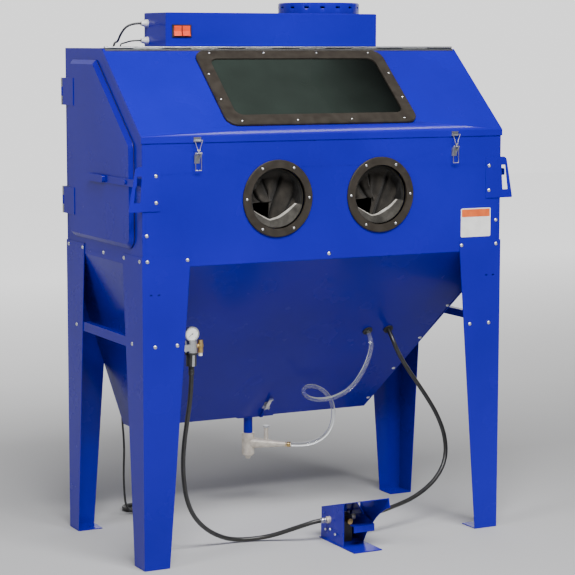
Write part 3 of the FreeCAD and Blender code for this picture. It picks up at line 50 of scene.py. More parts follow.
MM = 0.001
SWEEP_GLOW = 1.3       # how brightly the floor's far end glows, to meet the sweep


# ---- node materials -----------------------------------------------------------------------------
class Shader:
    """A small builder for node materials: one Principled shader and what feeds it."""

    def __init__(self, name):
        self.material = bpy.data.materials.new(name)
        self.material.use_nodes = True
        self.tree = self.material.node_tree
        self.bsdf = self.tree.nodes["Principled BSDF"]
        self.coords = self.tree.nodes.new("ShaderNodeTexCoord")

    def set(self, **values):
        for key, value in values.items():
            self.bsdf.inputs[key.replace("_", " ")].default_value = value

    def link(self, a, b):
        self.tree.links.new(a, b)

    def noise(self, scale, detail=3.0, rough=0.5):
        node = self.tree.nodes.new("ShaderNodeTexNoise")
        node.inputs["Scale"].default_value = scale
        node.inputs["Detail"].default_value = detail
        node.inputs["Roughness"].default_value = rough
        self.link(self.coords.outputs["Object"], node.inputs["Vector"])
        return node.outputs["Fac"]

    def cells(self, scale):
        node = self.tree.nodes.new("ShaderNodeTexVoronoi")
        node.inputs["Scale"].default_value = scale
        self.link(self.coords.outputs["Object"], node.inputs["Vector"])
        return node.outputs["Distance"]

    def wave(self, scale, direction, distortion):
        node = self.tree.nodes.new("ShaderNodeTexWave")
        node.bands_direction = direction
        node.inputs["Scale"].default_value = scale
        node.inputs["Distortion"].default_value = distortion
        self.link(self.coords.outputs["Object"], node.inputs["Vector"])
        return node.outputs["Fac"]

    def ramp(self, factor, low, high, start=0.3, end=0.7):
        node = self.tree.nodes.new("ShaderNodeValToRGB")
        node.color_ramp.elements[0].position = start
        node.color_ramp.elements[1].position = end
        node.color_ramp.elements[0].color = (*low, 1)
        node.color_ramp.elements[1].color = (*high, 1)
        self.link(factor, node.inputs["Fac"])
        return node.outputs["Color"]

    def grey(self, factor, low, high, start=0.0, end=1.0):
        node = self.tree.nodes.new("ShaderNodeMapRange")
        node.inputs["From Min"].default_value = start
        node.inputs["From Max"].default_value = end
        node.inputs["To Min"].default_value = low
        node.inputs["To Max"].default_value = high
        self.link(factor, node.inputs["Value"])
        return node.outputs["Result"]

    def math(self, operation, a, b):
        node = self.tree.nodes.new("ShaderNodeMath")
        node.operation = operation
        for socket, value in zip(node.inputs, (a, b)):
            if isinstance(value, (int, float)):
                socket.default_value = value
            else:
                self.link(value, socket)
        return node.outputs["Value"]

    def mix(self, factor, a, b):
        node = self.tree.nodes.new("ShaderNodeMix")
        node.data_type = "RGBA"
        for socket, value in ((node.inputs[0], factor), (node.inputs[6], a), (node.inputs[7], b)):
            if isinstance(value, tuple):
                socket.default_value = (*value, 1)
            elif isinstance(value, (int, float)):
                socket.default_value = value
            else:
                self.link(value, socket)
        return node.outputs[2]

    def edges(self, radius):
        """About 1 near a convex edge and 0 on open faces."""
        bevel = self.tree.nodes.new("ShaderNodeBevel")
        bevel.samples = 4
        bevel.inputs["Radius"].default_value = radius
        geometry = self.tree.nodes.new("ShaderNodeNewGeometry")
        dot = self.tree.nodes.new("ShaderNodeVectorMath")
        dot.operation = "DOT_PRODUCT"
        self.link(bevel.outputs["Normal"], dot.inputs[0])
        self.link(geometry.outputs["True Normal"], dot.inputs[1])
        bent = self.math("SUBTRACT", 1.0, dot.outputs["Value"])
        return self.grey(bent, 0.0, 1.0, 0.02, 0.25)

    def color(self, socket):
        self.link(socket, self.bsdf.inputs["Base Color"])

    def roughness(self, socket):
        self.link(socket, self.bsdf.inputs["Roughness"])

    def bump(self, height, distance, strength):
        node = self.tree.nodes.new("ShaderNodeBump")
        node.inputs["Strength"].default_value = strength
        node.inputs["Distance"].default_value = distance
        self.link(height, node.inputs["Height"])
        self.link(node.outputs["Normal"], self.bsdf.inputs["Normal"])


def powder_coat(name, dark, light):
    """Glossy powder coat: orange peel, slight film variation and a painted highlight along convex edges."""
    s = Shader(name)
    film = s.ramp(s.noise(2.2, 4.0), dark, light)
    # painted highlight: a lighter blue mixed in along convex edges
    edge_highlight = tuple(c * 1.4 + 0.003 for c in light)
    s.color(s.mix(s.math("MULTIPLY", s.edges(0.0012), 0.4), film, edge_highlight))
    s.roughness(s.grey(s.noise(9.0, 5.0), 0.20, 0.32))
    s.bump(s.noise(420.0, 2.0), 0.00010, 0.3)
    s.set(Specular_IOR_Level=0.13, Coat_Weight=0.07, Coat_Roughness=0.06, Coat_IOR=1.5)
    return s.material


def bright_zinc():
    s = Shader("bright_zinc")
    tone = (0.74, 0.75, 0.77)
    s.color(s.ramp(s.noise(160.0, 3.0), tuple(c * 0.82 for c in tone), tone))
    s.roughness(s.grey(s.noise(300.0, 3.0), 0.22, 0.38))
    s.bump(s.noise(900.0, 2.0), 0.00005, 0.4)
    s.set(Metallic=1.0)
    return s.material


def galvanised():
    s = Shader("galvanised_steel")
    spangle = s.cells(130.0)
    s.color(s.ramp(spangle, (0.36, 0.37, 0.39), (0.58, 0.59, 0.61), 0.1, 0.7))
    s.roughness(s.grey(spangle, 0.35, 0.6))
    s.bump(s.noise(240.0, 3.0), 0.0002, 0.4)
    s.set(Metallic=0.9)
    return s.material


def brass():
    s = Shader("yellow_brass")
    s.color(s.ramp(s.noise(120.0, 4.0), (0.55, 0.36, 0.12), (0.78, 0.57, 0.25)))
    s.roughness(s.grey(s.noise(260.0, 3.0), 0.22, 0.4))
    s.bump(s.noise(800.0, 2.0), 0.00006, 0.4)
    s.set(Metallic=1.0)
    return s.material


def cast_alloy():
    s = Shader("cast_alloy_skin")
    s.color(s.ramp(s.noise(60.0, 5.0), (0.60, 0.54, 0.45), (0.82, 0.76, 0.66)))
    s.roughness(s.grey(s.noise(140.0, 4.0), 0.32, 0.55))
    s.bump(s.noise(520.0, 4.0), 0.00025, 0.5)
    s.set(Metallic=0.45)
    return s.material


def moulded(name, dark, light, rough=(0.4, 0.55), grain=700.0, depth=0.0001, **extra):
    """Moulded plastic or rubber with a fine texture."""
    s = Shader(name)
    s.color(s.ramp(s.noise(38.0, 4.0), dark, light))
    s.roughness(s.grey(s.noise(90.0, 4.0), *rough))
    s.bump(s.noise(grain, 2.0), depth, 0.5)
    s.set(**extra)
    return s.material


def hose_jacket(name, dark, light, rough):
    """A hose's extruded rubber jacket, with a faint cloth imprint."""
    s = Shader(name)
    s.color(s.ramp(s.noise(70.0, 4.0), dark, light))
    s.roughness(s.grey(s.noise(160.0, 4.0), *rough))
    s.bump(s.noise(1200.0, 2.0), 0.0001, 0.35)
    s.set(Coat_Weight=0.25, Coat_Roughness=0.3)
    return s.material


def clear_vinyl():
    s = Shader("clear_vinyl")
    s.color(s.ramp(s.noise(30.0, 2.0), (0.86, 0.89, 0.92), (0.96, 0.97, 0.98)))
    s.roughness(s.grey(s.noise(45.0, 3.0), 0.05, 0.14))
    s.set(Transmission_Weight=0.93, IOR=1.35, Coat_Weight=0.4, Coat_Roughness=0.05)
    return s.material


def window_pane():
    """Dark laminated glass with a thin haze of dust, and painted shade that turns it near-black towards +X.
    """
    s = Shader("dark_pane")
    haze = s.ramp(s.noise(3.0, 4.0), (0.014, 0.019, 0.016), (0.028, 0.038, 0.033))
    split = s.tree.nodes.new("ShaderNodeSeparateXYZ")
    s.link(s.coords.outputs["Object"], split.inputs["Vector"])
    # painted shade: the pane is mixed towards near-black from x 0.02 to 0.30, in place of a dim reflection
    # there
    s.color(s.mix(s.grey(split.outputs["X"], 0.0, 0.93, 0.02, 0.30), haze, (0.0004, 0.0004, 0.0006)))
    s.roughness(s.grey(s.noise(14.0, 5.0), 0.05, 0.12))
    s.set(IOR=1.5, Specular_IOR_Level=0.35, Coat_Weight=0.15, Coat_Roughness=0.04)
    return s.material


def glove_cloth(name, dark, light, folded=False):
    """Rubberised cloth: a fine weave under a dusty sheen, with painted shade down in its folds when folded
    is set.
    """
    s = Shader(name)
    dust_and_fold_shade = s.ramp(s.noise(26.0, 6.0, 0.65), dark, light, 0.35, 0.75)
    if folded:
        layer = s.tree.nodes.new("ShaderNodeAttribute")
        layer.attribute_name = "fold"
        # painted shade: the 'fold' attribute mixes in a far darker copy of the cloth down in the folds
        dust_and_fold_shade = s.mix(layer.outputs["Fac"], tuple(c * 0.08 for c in dark), dust_and_fold_shade)
    s.color(dust_and_fold_shade)
    s.roughness(s.grey(s.noise(60.0, 5.0), 0.55, 0.85))
    warp = s.wave(520.0, "X", 0.6)
    weft = s.wave(520.0, "Z", 0.6)
    weave = s.math("MULTIPLY", warp, weft)
    s.bump(s.math("ADD", weave, s.noise(180.0, 5.0)), 0.0006, 0.5)
    s.set(Sheen_Weight=0.08, Sheen_Roughness=0.5, Specular_IOR_Level=0.2)
    return s.material


def felt():
    s = Shader("filter_felt_cloth")
    s.color(s.ramp(s.noise(50.0, 6.0), (0.62, 0.60, 0.54), (0.84, 0.82, 0.77)))
    s.roughness(s.grey(s.noise(200.0, 4.0), 0.85, 0.98))
    s.bump(s.noise(600.0, 6.0), 0.0008, 0.6)
    return s.material


def studio_floor():
    """Pale matt floor with painted light: an emission glow that rises towards the bright sweep far behind
    the object.
    """
    s = Shader("studio_floor")
    s.color(s.ramp(s.noise(0.8, 3.0), (0.44, 0.44, 0.445), (0.47, 0.47, 0.47)))
    s.roughness(s.grey(s.noise(5.0, 3.0), 0.7, 0.85))
    split = s.tree.nodes.new("ShaderNodeSeparateXYZ")
    s.link(s.coords.outputs["Object"], split.inputs["Vector"])
    # painted light: the floor's glow is weaker towards -X and grows towards the back
    sided = s.grey(split.outputs["X"], 0.3, 1.0, -2.2, 0.0)
    glow = s.math("MULTIPLY", s.grey(split.outputs["Y"], 0.0, SWEEP_GLOW, 0.7, 6.5), sided)
    s.set(Emission_Color=(1, 1, 1, 1), Specular_IOR_Level=0.1)
    s.link(glow, s.bsdf.inputs["Emission Strength"])
    return s.material


def red_rocker():
    s = Shader("lit_red")
    s.color(s.ramp(s.noise(40.0, 3.0), (0.62, 0.03, 0.008), (0.85, 0.07, 0.015)))
    s.roughness(s.grey(s.noise(120.0, 3.0), 0.14, 0.24))
    s.set(Coat_Weight=0.6, Emission_Color=(0.9, 0.06, 0.01, 1), Emission_Strength=0.25)
    return s.material


BLUE = powder_coat("blue_powder_coat", (0.0080, 0.0022, 0.27), (0.0110, 0.0034, 0.36))
DARK_FRAME = moulded("dark_frame_coat", (0.020, 0.016, 0.0125), (0.036, 0.030, 0.024), (0.42, 0.58), 900.0,
                      Specular_IOR_Level=0.25)
ZINC = bright_zinc()
GALVANISED = galvanised()
BRASS = brass()
ALLOY = cast_alloy()
BLACK_PLASTIC = moulded("black_moulding", (0.012, 0.012, 0.012), (0.03, 0.03, 0.03), (0.3, 0.45))
WHITE_PLASTIC = moulded("pale_moulding", (0.62, 0.61, 0.58), (0.78, 0.77, 0.75), (0.35, 0.5))
SEAL = moulded("seal_rubber_skin", (0.010, 0.010, 0.010), (0.025, 0.025, 0.025), (0.6, 0.8), 400.0, 0.0003)
HOSE = hose_jacket("black_hose_jacket", (0.008, 0.008, 0.007), (0.022, 0.021, 0.019), (0.35, 0.5))
LEAD = hose_jacket("black_lead_jacket", (0.010, 0.010, 0.010), (0.022, 0.022, 0.022), (0.45, 0.6))
VINYL = clear_vinyl()
PANE = window_pane()
GLOVE = glove_cloth("glove_cloth", (0.004, 0.0036, 0.0032), (0.013, 0.012, 0.011))
FOLDED = glove_cloth("folded_glove_cloth", (0.011, 0.0092, 0.0072), (0.040, 0.034, 0.027), True)
CUFF = glove_cloth("cuff_cloth", (0.24, 0.225, 0.20), (0.52, 0.50, 0.46))
CUFF_SHADE = glove_cloth("cuff_shade_cloth", (0.022, 0.020, 0.017), (0.085, 0.079, 0.069))
FELT = felt()
ROCKER = red_rocker()
MOTOR = moulded("motor_enamel", (0.02, 0.02, 0.022), (0.045, 0.045, 0.05), (0.3, 0.5))
DIAL = moulded("dial_enamel", (0.74, 0.74, 0.72), (0.84, 0.84, 0.82), (0.25, 0.35))
PLATE_WHITE = moulded("plate_white", (0.72, 0.72, 0.70), (0.84, 0.84, 0.82), (0.35, 0.5))
PLATE_ORANGE = moulded("plate_orange", (0.62, 0.10, 0.02), (0.78, 0.15, 0.03), (0.35, 0.5))
OPAL = moulded("opal_tube", (0.80, 0.80, 0.78), (0.90, 0.90, 0.88), (0.25, 0.35))

finishes = {
    "blue_paint": BLUE, "dark_frame": DARK_FRAME, "zinc": ZINC, "galvanised": GALVANISED,
    "glass_pane": PANE, "glove_rubber": GLOVE, "seal_rubber": SEAL, "hose_rubber": HOSE,
    "clear_tube": VINYL, "lead_black": LEAD, "switch_red": ROCKER, "black_plastic": BLACK_PLASTIC,
    "gland_plastic": WHITE_PLASTIC, "cast_alloy": ALLOY, "lamp_tube_glass": OPAL, "filter_felt": FELT,
    "motor_dark": MOTOR, "regulator_metal": ZINC,
}


def dress(node, material):
    obj = nodes[node]
    obj.data.materials.clear()
    obj.data.materials.append(material)


for entry in frame["record"]["subparts"]:
    dress(entry["node"], finishes[entry["material_slot"]])


def soften(node, width):
    """Rounds a CAD node's sharp edges a little, as folded and sheared sheet has them."""
    obj = nodes[node]
    weld = obj.modifiers.new("weld", "WELD")
    weld.merge_threshold = 0.00002
    bevel = obj.modifiers.new("bevel", "BEVEL")
    bevel.width = width
    bevel.segments = 2
    bevel.limit_method = "ANGLE"
    bevel.angle_limit = math.radians(35)
    bevel.harden_normals = True


for node in ("front_panel", "rear_panel", "roof_panel", "side_panel_left", "side_panel_right",
             "hopper_sides", "hopper_front", "hopper_rear", "lid_panel", "door_keepers", "leg_braces"):
    soften(node, 0.0004)
for node in ("legs", "light_box", "pedal_base", "treadle", "door_handle_left", "door_handle_right",
             "side_door_left", "side_door_right", "collector_head"):
    soften(node, 0.0007)


# ---- mesh helpers -------------------------------------------------------------------------------
def new_object(name, mesh, material, body):
    """A piece of this script's own, made of one material and riding on one body."""
    obj = bpy.data.objects.new(name, mesh)
    bpy.context.scene.collection.objects.link(obj)
    obj.data.materials.append(material)
    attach(obj, body)
    return obj


def shade_smooth(mesh):
    mesh.polygons.foreach_set("use_smooth", [True] * len(mesh.polygons))


def lathe(name, profile, base, axis, material, body, steps=40):
    """Turns a profile of (radius, height) points about an axis through base."""
    bm = bmesh.new()
    turn = Vector((0, 0, 1)).rotation_difference(Vector(axis)).to_matrix()
    rings = []
    for radius, height in profile:
        ring = []
        for i in range(steps):
            a = 2 * math.pi * i / steps
            point = turn @ Vector((radius * math.cos(a), radius * math.sin(a), height)) + Vector(base)
            ring.append(bm.verts.new(point))
        rings.append(ring)
    for low, high in zip(rings, rings[1:]):
        for i in range(steps):
            bm.faces.new((low[i], low[(i + 1) % steps], high[(i + 1) % steps], high[i]))
    bm.faces.new(list(reversed(rings[0])))
    bm.faces.new(rings[-1])
    bmesh.ops.recalc_face_normals(bm, faces=bm.faces)
    mesh = bpy.data.meshes.new(name)
    bm.to_mesh(mesh)
    bm.free()
    shade_smooth(mesh)
    mesh.set_sharp_from_angle(angle=math.radians(40))
    return new_object(name, mesh, material, body)


# ---- camera, light and floor --------------------------------------------------------------------
camera = bpy.data.objects.new("camera", bpy.data.cameras.new("camera"))
bpy.context.scene.collection.objects.link(camera)
camera.location = Vector((-2784.1, -5488.9, 1544.1)) * MM
yaw, pitch, roll = (math.radians(a) for a in (27.010, -7.143, 0.084))
camera.rotation_mode = "XYZ"
view_turn = Matrix.Rotation(-yaw, 4, "Z") @ Matrix.Rotation(math.pi / 2 + pitch, 4, "X")
camera.rotation_euler = (view_turn @ Matrix.Rotation(roll, 4, "Z")).to_euler("XYZ")
SENSOR, IMAGE_WIDTH, FOCAL_PIXELS = 36.0, 575.0, 1958.99
camera.data.sensor_width = SENSOR
camera.data.lens = SENSOR * FOCAL_PIXELS / IMAGE_WIDTH
camera.data.clip_end = 60.0
bpy.context.scene.camera = camera


def studio_world():
    """Dim studio with a bright sweep behind the object and a dark ceiling."""
    world = bpy.data.worlds.new("studio")
    world.use_nodes = True
    tree = world.node_tree
    coords = tree.nodes.new("ShaderNodeTexCoord")
    split = tree.nodes.new("ShaderNodeSeparateXYZ")
    tree.links.new(coords.outputs["Generated"], split.inputs["Vector"])

    def ramp(axis, low, high, start, end):
        node = tree.nodes.new("ShaderNodeMapRange")
        node.interpolation_type = "SMOOTHSTEP"
        tree.links.new(split.outputs[axis], node.inputs["Value"])
        for socket, value in (("From Min", start), ("From Max", end), ("To Min", low), ("To Max", high)):
            node.inputs[socket].default_value = value
        return node.outputs["Result"]

    product = tree.nodes.new("ShaderNodeMath")
    product.operation = "MULTIPLY"
    sided = tree.nodes.new("ShaderNodeMath")
    sided.operation = "MULTIPLY"
    tree.nodes["Background"].inputs["Color"].default_value = (1, 1, 1, 1)
    tree.links.new(ramp("Y", 0.07, 1.5, -0.1, 0.55), product.inputs[0])
    tree.links.new(ramp("Z", 1.0, 0.10, 0.35, 0.75), product.inputs[1])
    tree.links.new(product.outputs["Value"], sided.inputs[0])
    tree.links.new(ramp("X", 0.38, 1.0, -0.25, 0.20), sided.inputs[1])
    tree.links.new(sided.outputs["Value"], tree.nodes["Background"].inputs["Strength"])
    return world


bpy.context.scene.world = studio_world()


def softbox(name, place, size, power):
    """A rectangular area light turned to the middle of the cabinet."""
    target = (0, 0, 0.9)
    data = bpy.data.lights.new(name, "AREA")
    data.shape = "RECTANGLE"
    data.size, data.size_y = size
    data.energy = power
    light = bpy.data.objects.new(name, data)
    bpy.context.scene.collection.objects.link(light)
    light.location = place
    light.rotation_euler = (Vector(target) - Vector(place)).to_track_quat("-Z", "Y").to_euler()


softbox("key", (-0.6, -4.4, 5.6), (5.0, 2.2), 880)
softbox("side", (-5.0, -1.6, 4.4), (2.0, 2.0), 130)

floor_mesh = bpy.data.meshes.new("floor")
bm = bmesh.new()
bmesh.ops.create_grid(bm, x_segments=4, y_segments=4, size=14.0)
bm.to_mesh(floor_mesh)
bm.free()
floor = bpy.data.objects.new("floor", floor_mesh)
bpy.context.scene.collection.objects.link(floor)
floor.data.materials.append(studio_floor())
floor.location.z = -0.0005


# ---- cords --------------------------------------------------------------------------------------
def spline_curve(name, points_mm, radius, material, node):
    """One smooth spline through a route given in millimetres."""
    curve = bpy.data.curves.new(name, "CURVE")
    curve.dimensions = "3D"
    curve.bevel_depth = radius
    curve.bevel_resolution = 6
    curve.resolution_u = 12
    curve.use_fill_caps = True
    spline = curve.splines.new("NURBS")
    spline.points.add(len(points_mm) - 1)
    for point, place in zip(spline.points, points_mm):
        point.co = (*(Vector(place) * MM), 1.0)
    spline.order_u = 3
    spline.use_endpoint_u = True
    obj = bpy.data.objects.new(name, curve)
    bpy.context.scene.collection.objects.link(obj)
    curve.materials.append(material)
    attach(obj, "cabinet")
    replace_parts(obj, *node)
    return obj


def line_length(obj):
    """Length of the curve's own line, in metres."""
    probe = obj.data.copy()
    probe.bevel_depth = 0
    probe.resolution_u = 24
    temporary = bpy.data.objects.new("probe", probe)
    mesh = bpy.data.meshes.new_from_object(temporary)
    total = sum((mesh.vertices[a].co - mesh.vertices[b].co).length for a, b in
                (edge.vertices for edge in mesh.edges))
    bpy.data.objects.remove(temporary)
    bpy.data.meshes.remove(mesh)
    return total


HOPPER_PITCH = 540.0 / 577.0      # how far the hopper's front goes back per unit down
HOPPER_TOP_Y, HOPPER_TOP_Z = -305.0, 895.0
hopper_out = Vector((0, -1, -HOPPER_PITCH)).normalized()


def on_hopper_front(x, z, out=0.0):
    """A point on the hopper's front, in millimetres, out of its face."""
    return Vector((x, HOPPER_TOP_Y + (HOPPER_TOP_Z - z) * HOPPER_PITCH, z)) + hopper_out * out


ARM_TURN = math.radians(-40.0)
arm_dir = Vector((math.cos(ARM_TURN), math.sin(ARM_TURN), 0))


def along_arm(distance):
    """A point on the media valve's arm, in millimetres from the valve's axis."""
    return Vector((2.0, 264.0, 225.0)) + arm_dir * distance


supply_points = [
    (-446, -278, 586), (-446, -278, 550), (-449, -275, 492), (-456, -268, 428), (-462, -260, 366),
    (-462, -249, 302), (-452, -233, 238), (-435, -214, 179), (-405, -190, 124), (-362, -163, 78),
    (-312, -141, 42), (-254, -127, 15), (-196, -127, 7.5), (-144, -145, 12), (-102, -172, 26),
    (-66, -203, 45), (-34, -229, 61), (-3, -240, 70), (26.5, -240, 70)]
gun_points = [
    on_hopper_front(352.0, 625.0), on_hopper_front(352.0, 625.0, 36.0), (363, -92, 560), (391, -99, 508),
    (429, -106, 454), (467, -112, 399), (500, -119, 343), (522, -127, 284), (526, -137, 226),
    (507, -151, 178), (465, -168, 139), (409, -187, 111), (345, -206, 92), (280, -222, 82),
    (222, -234, 74), (178, -240, 70), (143.5, -240, 70)]
media_points = [
    on_hopper_front(276.0, 624.0), on_hopper_front(276.0, 624.0, 39.0), (268, -88, 556), (247, -82, 502),
    (220, -68, 453), (182, -50, 421), (138, -24, 404), (103, 12, 404), (96, 55, 418), (124, 88, 432),
    (171, 98, 427), (213, 98, 399), (236, 101, 354), (238, 108, 304), (223, 116, 262), (189, 128, 235),
    along_arm(188.0), along_arm(148.0)]
mains_points = [
    (-392, 213, 1601), (-414, 213, 1601), (-441, 219, 1591), (-454, 232, 1566), (-454, 254, 1545),
    (-449, 280, 1543), (-445, 305, 1540), (-442, 322, 1521), (-440, 326, 1484), (-436, 322, 1420),
    (-437, 325, 1335), (-430, 321, 1240), (-433, 325, 1145), (-428, 323, 1045), (-431, 325, 945),
    (-426, 321, 845), (-429, 326, 745), (-423, 322, 645), (-426, 327, 545), (-419, 324, 445),
    (-422, 329, 345), (-414, 327, 245), (-415, 334, 150), (-409, 343, 75), (-398, 356, 28),
    (-372, 364.5, 7.5), (-340, 372.5, 3.6)]
motor_points = [
    (-392, 213, 1548), (-410, 213, 1548), (-426, 224, 1546), (-431, 250, 1541), (-428, 280, 1539),
    (-424, 303, 1537), (-421, 318, 1519), (-417, 322, 1488), (-404, 321, 1452), (-378, 320, 1421),
    (-334, 318, 1403), (-270, 320, 1394), (-186, 318, 1388), (-98, 320, 1390), (-20, 319, 1393),
    (46, 330, 1400), (94, 362, 1411), (128, 406, 1427), (168, 450, 1440), (204, 450, 1440)]


def spline_radius(r, step):
    """The radius for points a step apart on an arc of radius r: a spline of this order runs inside them."""
    return r / (0.75 + 0.25 * math.cos(step))


# the put-away mains lead winds in to the middle, climbs a layer and winds out again
COIL_CENTRE = (-340.0, 417.0)
COIL_OUTER, COIL_INNER = 44.5, 29.6
LAYER_LOW, LAYER_HIGH = 3.6, 10.9
TURN_POINTS = 16
COIL_TURNS = 4
LAST_POINT = COIL_TURNS * TURN_POINTS - 2
for i in range(1, LAST_POINT + 1):
    turns = i / TURN_POINTS
    inward = min(turns, 2.0) / 2.0
    outward = max(0.0, turns - 2.25) / 1.75
    r = COIL_OUTER + (COIL_INNER - COIL_OUTER) * (inward - outward)
    climb = max(0.0, min(1.0, (turns - 2.0) / 0.25))
    z = LAYER_LOW + (LAYER_HIGH - LAYER_LOW) * climb
    r = spline_radius(r, 2 * math.pi / TURN_POINTS)
    angle = -math.pi / 2 + 2 * math.pi * turns
    mains_points.append((COIL_CENTRE[0] + r * math.cos(angle), COIL_CENTRE[1] + r * math.sin(angle), z))
# over the incoming lead, then round one arc into the plug
PLUG_END = (-262.0, 359.0, 6.0)
ARC_R = 33.5
ARC_CENTRE = (PLUG_END[0] - ARC_R, PLUG_END[1] - 2.4)
ARC_SWEEP = math.radians(135)
arc_heights = (7.0, 4.6, 3.8, 3.8, 4.6, 6.0)
arc_steps = len(arc_heights) - 1
mains_points += [(-353.5, 370.5, 13.2), (-336.0, 353.0, 11.0)]
for i, z in enumerate(arc_heights):
    angle = ARC_SWEEP * (i / arc_steps - 1)
    r = spline_radius(ARC_R, ARC_SWEEP / arc_steps) if 0 < i < arc_steps else ARC_R
    mains_points.append((ARC_CENTRE[0] + r * math.cos(angle), ARC_CENTRE[1] + r * math.sin(angle), z))
mains_points.append(PLUG_END)

HOSE_R, LEAD_R, MOTOR_LEAD_R = 0.007, 0.0035, 0.0025
supply_hose = spline_curve("air_supply_hose", supply_points, HOSE_R, HOSE, ["supply_hose"])
gun_hose = spline_curve("gun_air_hose", gun_points, HOSE_R, HOSE, ["gun_hose"])
media_hose = spline_curve("media_tube", media_points, HOSE_R, VINYL, ["media_hose"])
mains_lead = spline_curve("mains_cord", mains_points, LEAD_R, LEAD, ["mains_lead", "mains_coil"])
motor_lead = spline_curve("motor_cord", motor_points, MOTOR_LEAD_R, LEAD, ["motor_lead"])

for cord_object, radius, kind in (
        (supply_hose, HOSE_R, "medium"),
        (gun_hose, HOSE_R, "medium"),
        (media_hose, HOSE_R, "limp"),
        (motor_lead, MOTOR_LEAD_R, "medium")):
    line_length(cord_object)
line_length(mains_lead)


# ---- gloves -------------------------------------------------------------------------------------
PORT_X, PORT_Z, FRONT_Y = 0.175, 1.0835, -0.305
RIM_R = 0.0895


def smoothstep(t):
    t = max(0.0, min(1.0, t))
    return t * t * (3 - 2 * t)


def sleeve_point(theta, s, sx):
    """A point on the slack sleeve: theta round the rim from +X, s from the rim to the hand end."""
    depth = 0.006 + 0.205 * s
    drop = smoothstep((s - 0.27) / 0.45)
    wide = RIM_R * (1 - 0.30 * smoothstep(s / 0.8))
    tall = RIM_R * (1 - 0.62 * drop)
    taper = 1 - 0.55 * smoothstep((s - 0.75) / 0.25)
    lean = -0.016 * drop
    sink = -0.036 * drop
    upper = max(0.0, math.sin(theta)) ** 0.5
    fold = abs(math.sin(1.9 * theta + 0.9 + 1.3 * s + 0.25 * sx)) ** 0.7
    crease = abs(math.sin(4.3 * theta + 2.1 * s - 0.4 * sx)) ** 1.5
    pull = smoothstep((s - 0.25) / 0.16) * (0.020 * upper * (1 - fold) + 0.006 * crease)
    x = sx * PORT_X + lean + (wide - pull) * taper * math.cos(theta)
    z = PORT_Z + sink + (tall - pull) * taper * math.sin(theta)
    return Vector((x, FRONT_Y + depth, z))


def sleeve(sx, body):
    """The glove's sleeve: a slack closed bag that hangs in from the rim."""
    around, along = 96, 40
    bm = bmesh.new()
    rows = []
    for j in range(along + 1):
        rows.append([bm.verts.new(sleeve_point(2 * math.pi * i / around, j / along, sx))
                     for i in range(around)])
    for low, high in zip(rows, rows[1:]):
        for i in range(around):
            bm.faces.new((low[i], low[(i + 1) % around], high[(i + 1) % around], high[i]))
    bm.faces.new(rows[-1])
    bmesh.ops.recalc_face_normals(bm, faces=bm.faces)
    name = "glove_sleeve_" + ("right" if sx > 0 else "left")
    mesh = bpy.data.meshes.new(name)
    bm.to_mesh(mesh)
    bm.free()
    shade_smooth(mesh)
    obj = new_object(name, mesh, GLOVE, body)
    slacken(obj, around)
    thicken = obj.modifiers.new("wall", "SOLIDIFY")
    thicken.thickness = CLOTH_WALL
    subdivide = obj.modifiers.new("smooth", "SUBSURF")
    subdivide.levels = subdivide.render_levels = 1
    return obj


CLOTH_FRAMES = 20
CLOTH_CAP = 0.014       # how far the cloth may move a point
CLOTH_WALL = 0.0012


def slacken(obj, pinned):
    """Lets the cloth fall a little from its rim, and keeps what that gives."""
    start = [v.co.copy() for v in obj.data.vertices]
    group = obj.vertex_groups.new(name="rim")
    group.add(list(range(pinned * 2)), 1.0, "REPLACE")
    cloth = obj.modifiers.new("cloth", "CLOTH")
    settings = cloth.settings
    settings.quality = 6
    settings.mass = 0.3
    settings.tension_stiffness = settings.compression_stiffness = 18
    settings.bending_stiffness = 0.6
    settings.vertex_group_mass = "rim"
    settings.effector_weights.gravity = 0.35
    cloth.collision_settings.use_self_collision = False
    scene = bpy.context.scene
    for number in range(1, CLOTH_FRAMES + 1):
        scene.frame_set(number)
    evaluated = obj.evaluated_get(bpy.context.evaluated_depsgraph_get())
    fallen = [v.co.copy() for v in evaluated.data.vertices]
    obj.modifiers.remove(cloth)
    scene.frame_set(1)
    for vertex, before, after in zip(obj.data.vertices, start, fallen):
        move = after - before
        if move.length > CLOTH_CAP:
            move = move.normalized() * CLOTH_CAP
        vertex.co = before + move


cuff_edge = ((-0.082, -0.028), (-0.052, -0.046), (-0.018, -0.063), (0.006, -0.056), (0.036, -0.040),
             (0.068, -0.016))


def along_edge(t):
    """A point on the cuff's upper edge, t from 0 to 1, with the corners eased."""
    spread = t * (len(cuff_edge) - 1)
    i = min(int(spread), len(cuff_edge) - 2)
    a, b = Vector(cuff_edge[i]), Vector(cuff_edge[i + 1])
    return a.lerp(b, spread - i)


gather_low = ((-0.083, -0.015), (-0.050, -0.013), (-0.014, -0.012), (-0.026, -0.036), (-0.032, -0.066),
              (0.006, -0.060), (0.036, -0.045), (0.066, -0.024))
gather_folds = ((0.20, 0.030), (0.36, 0.020), (0.60, 0.026), (0.82, 0.020))


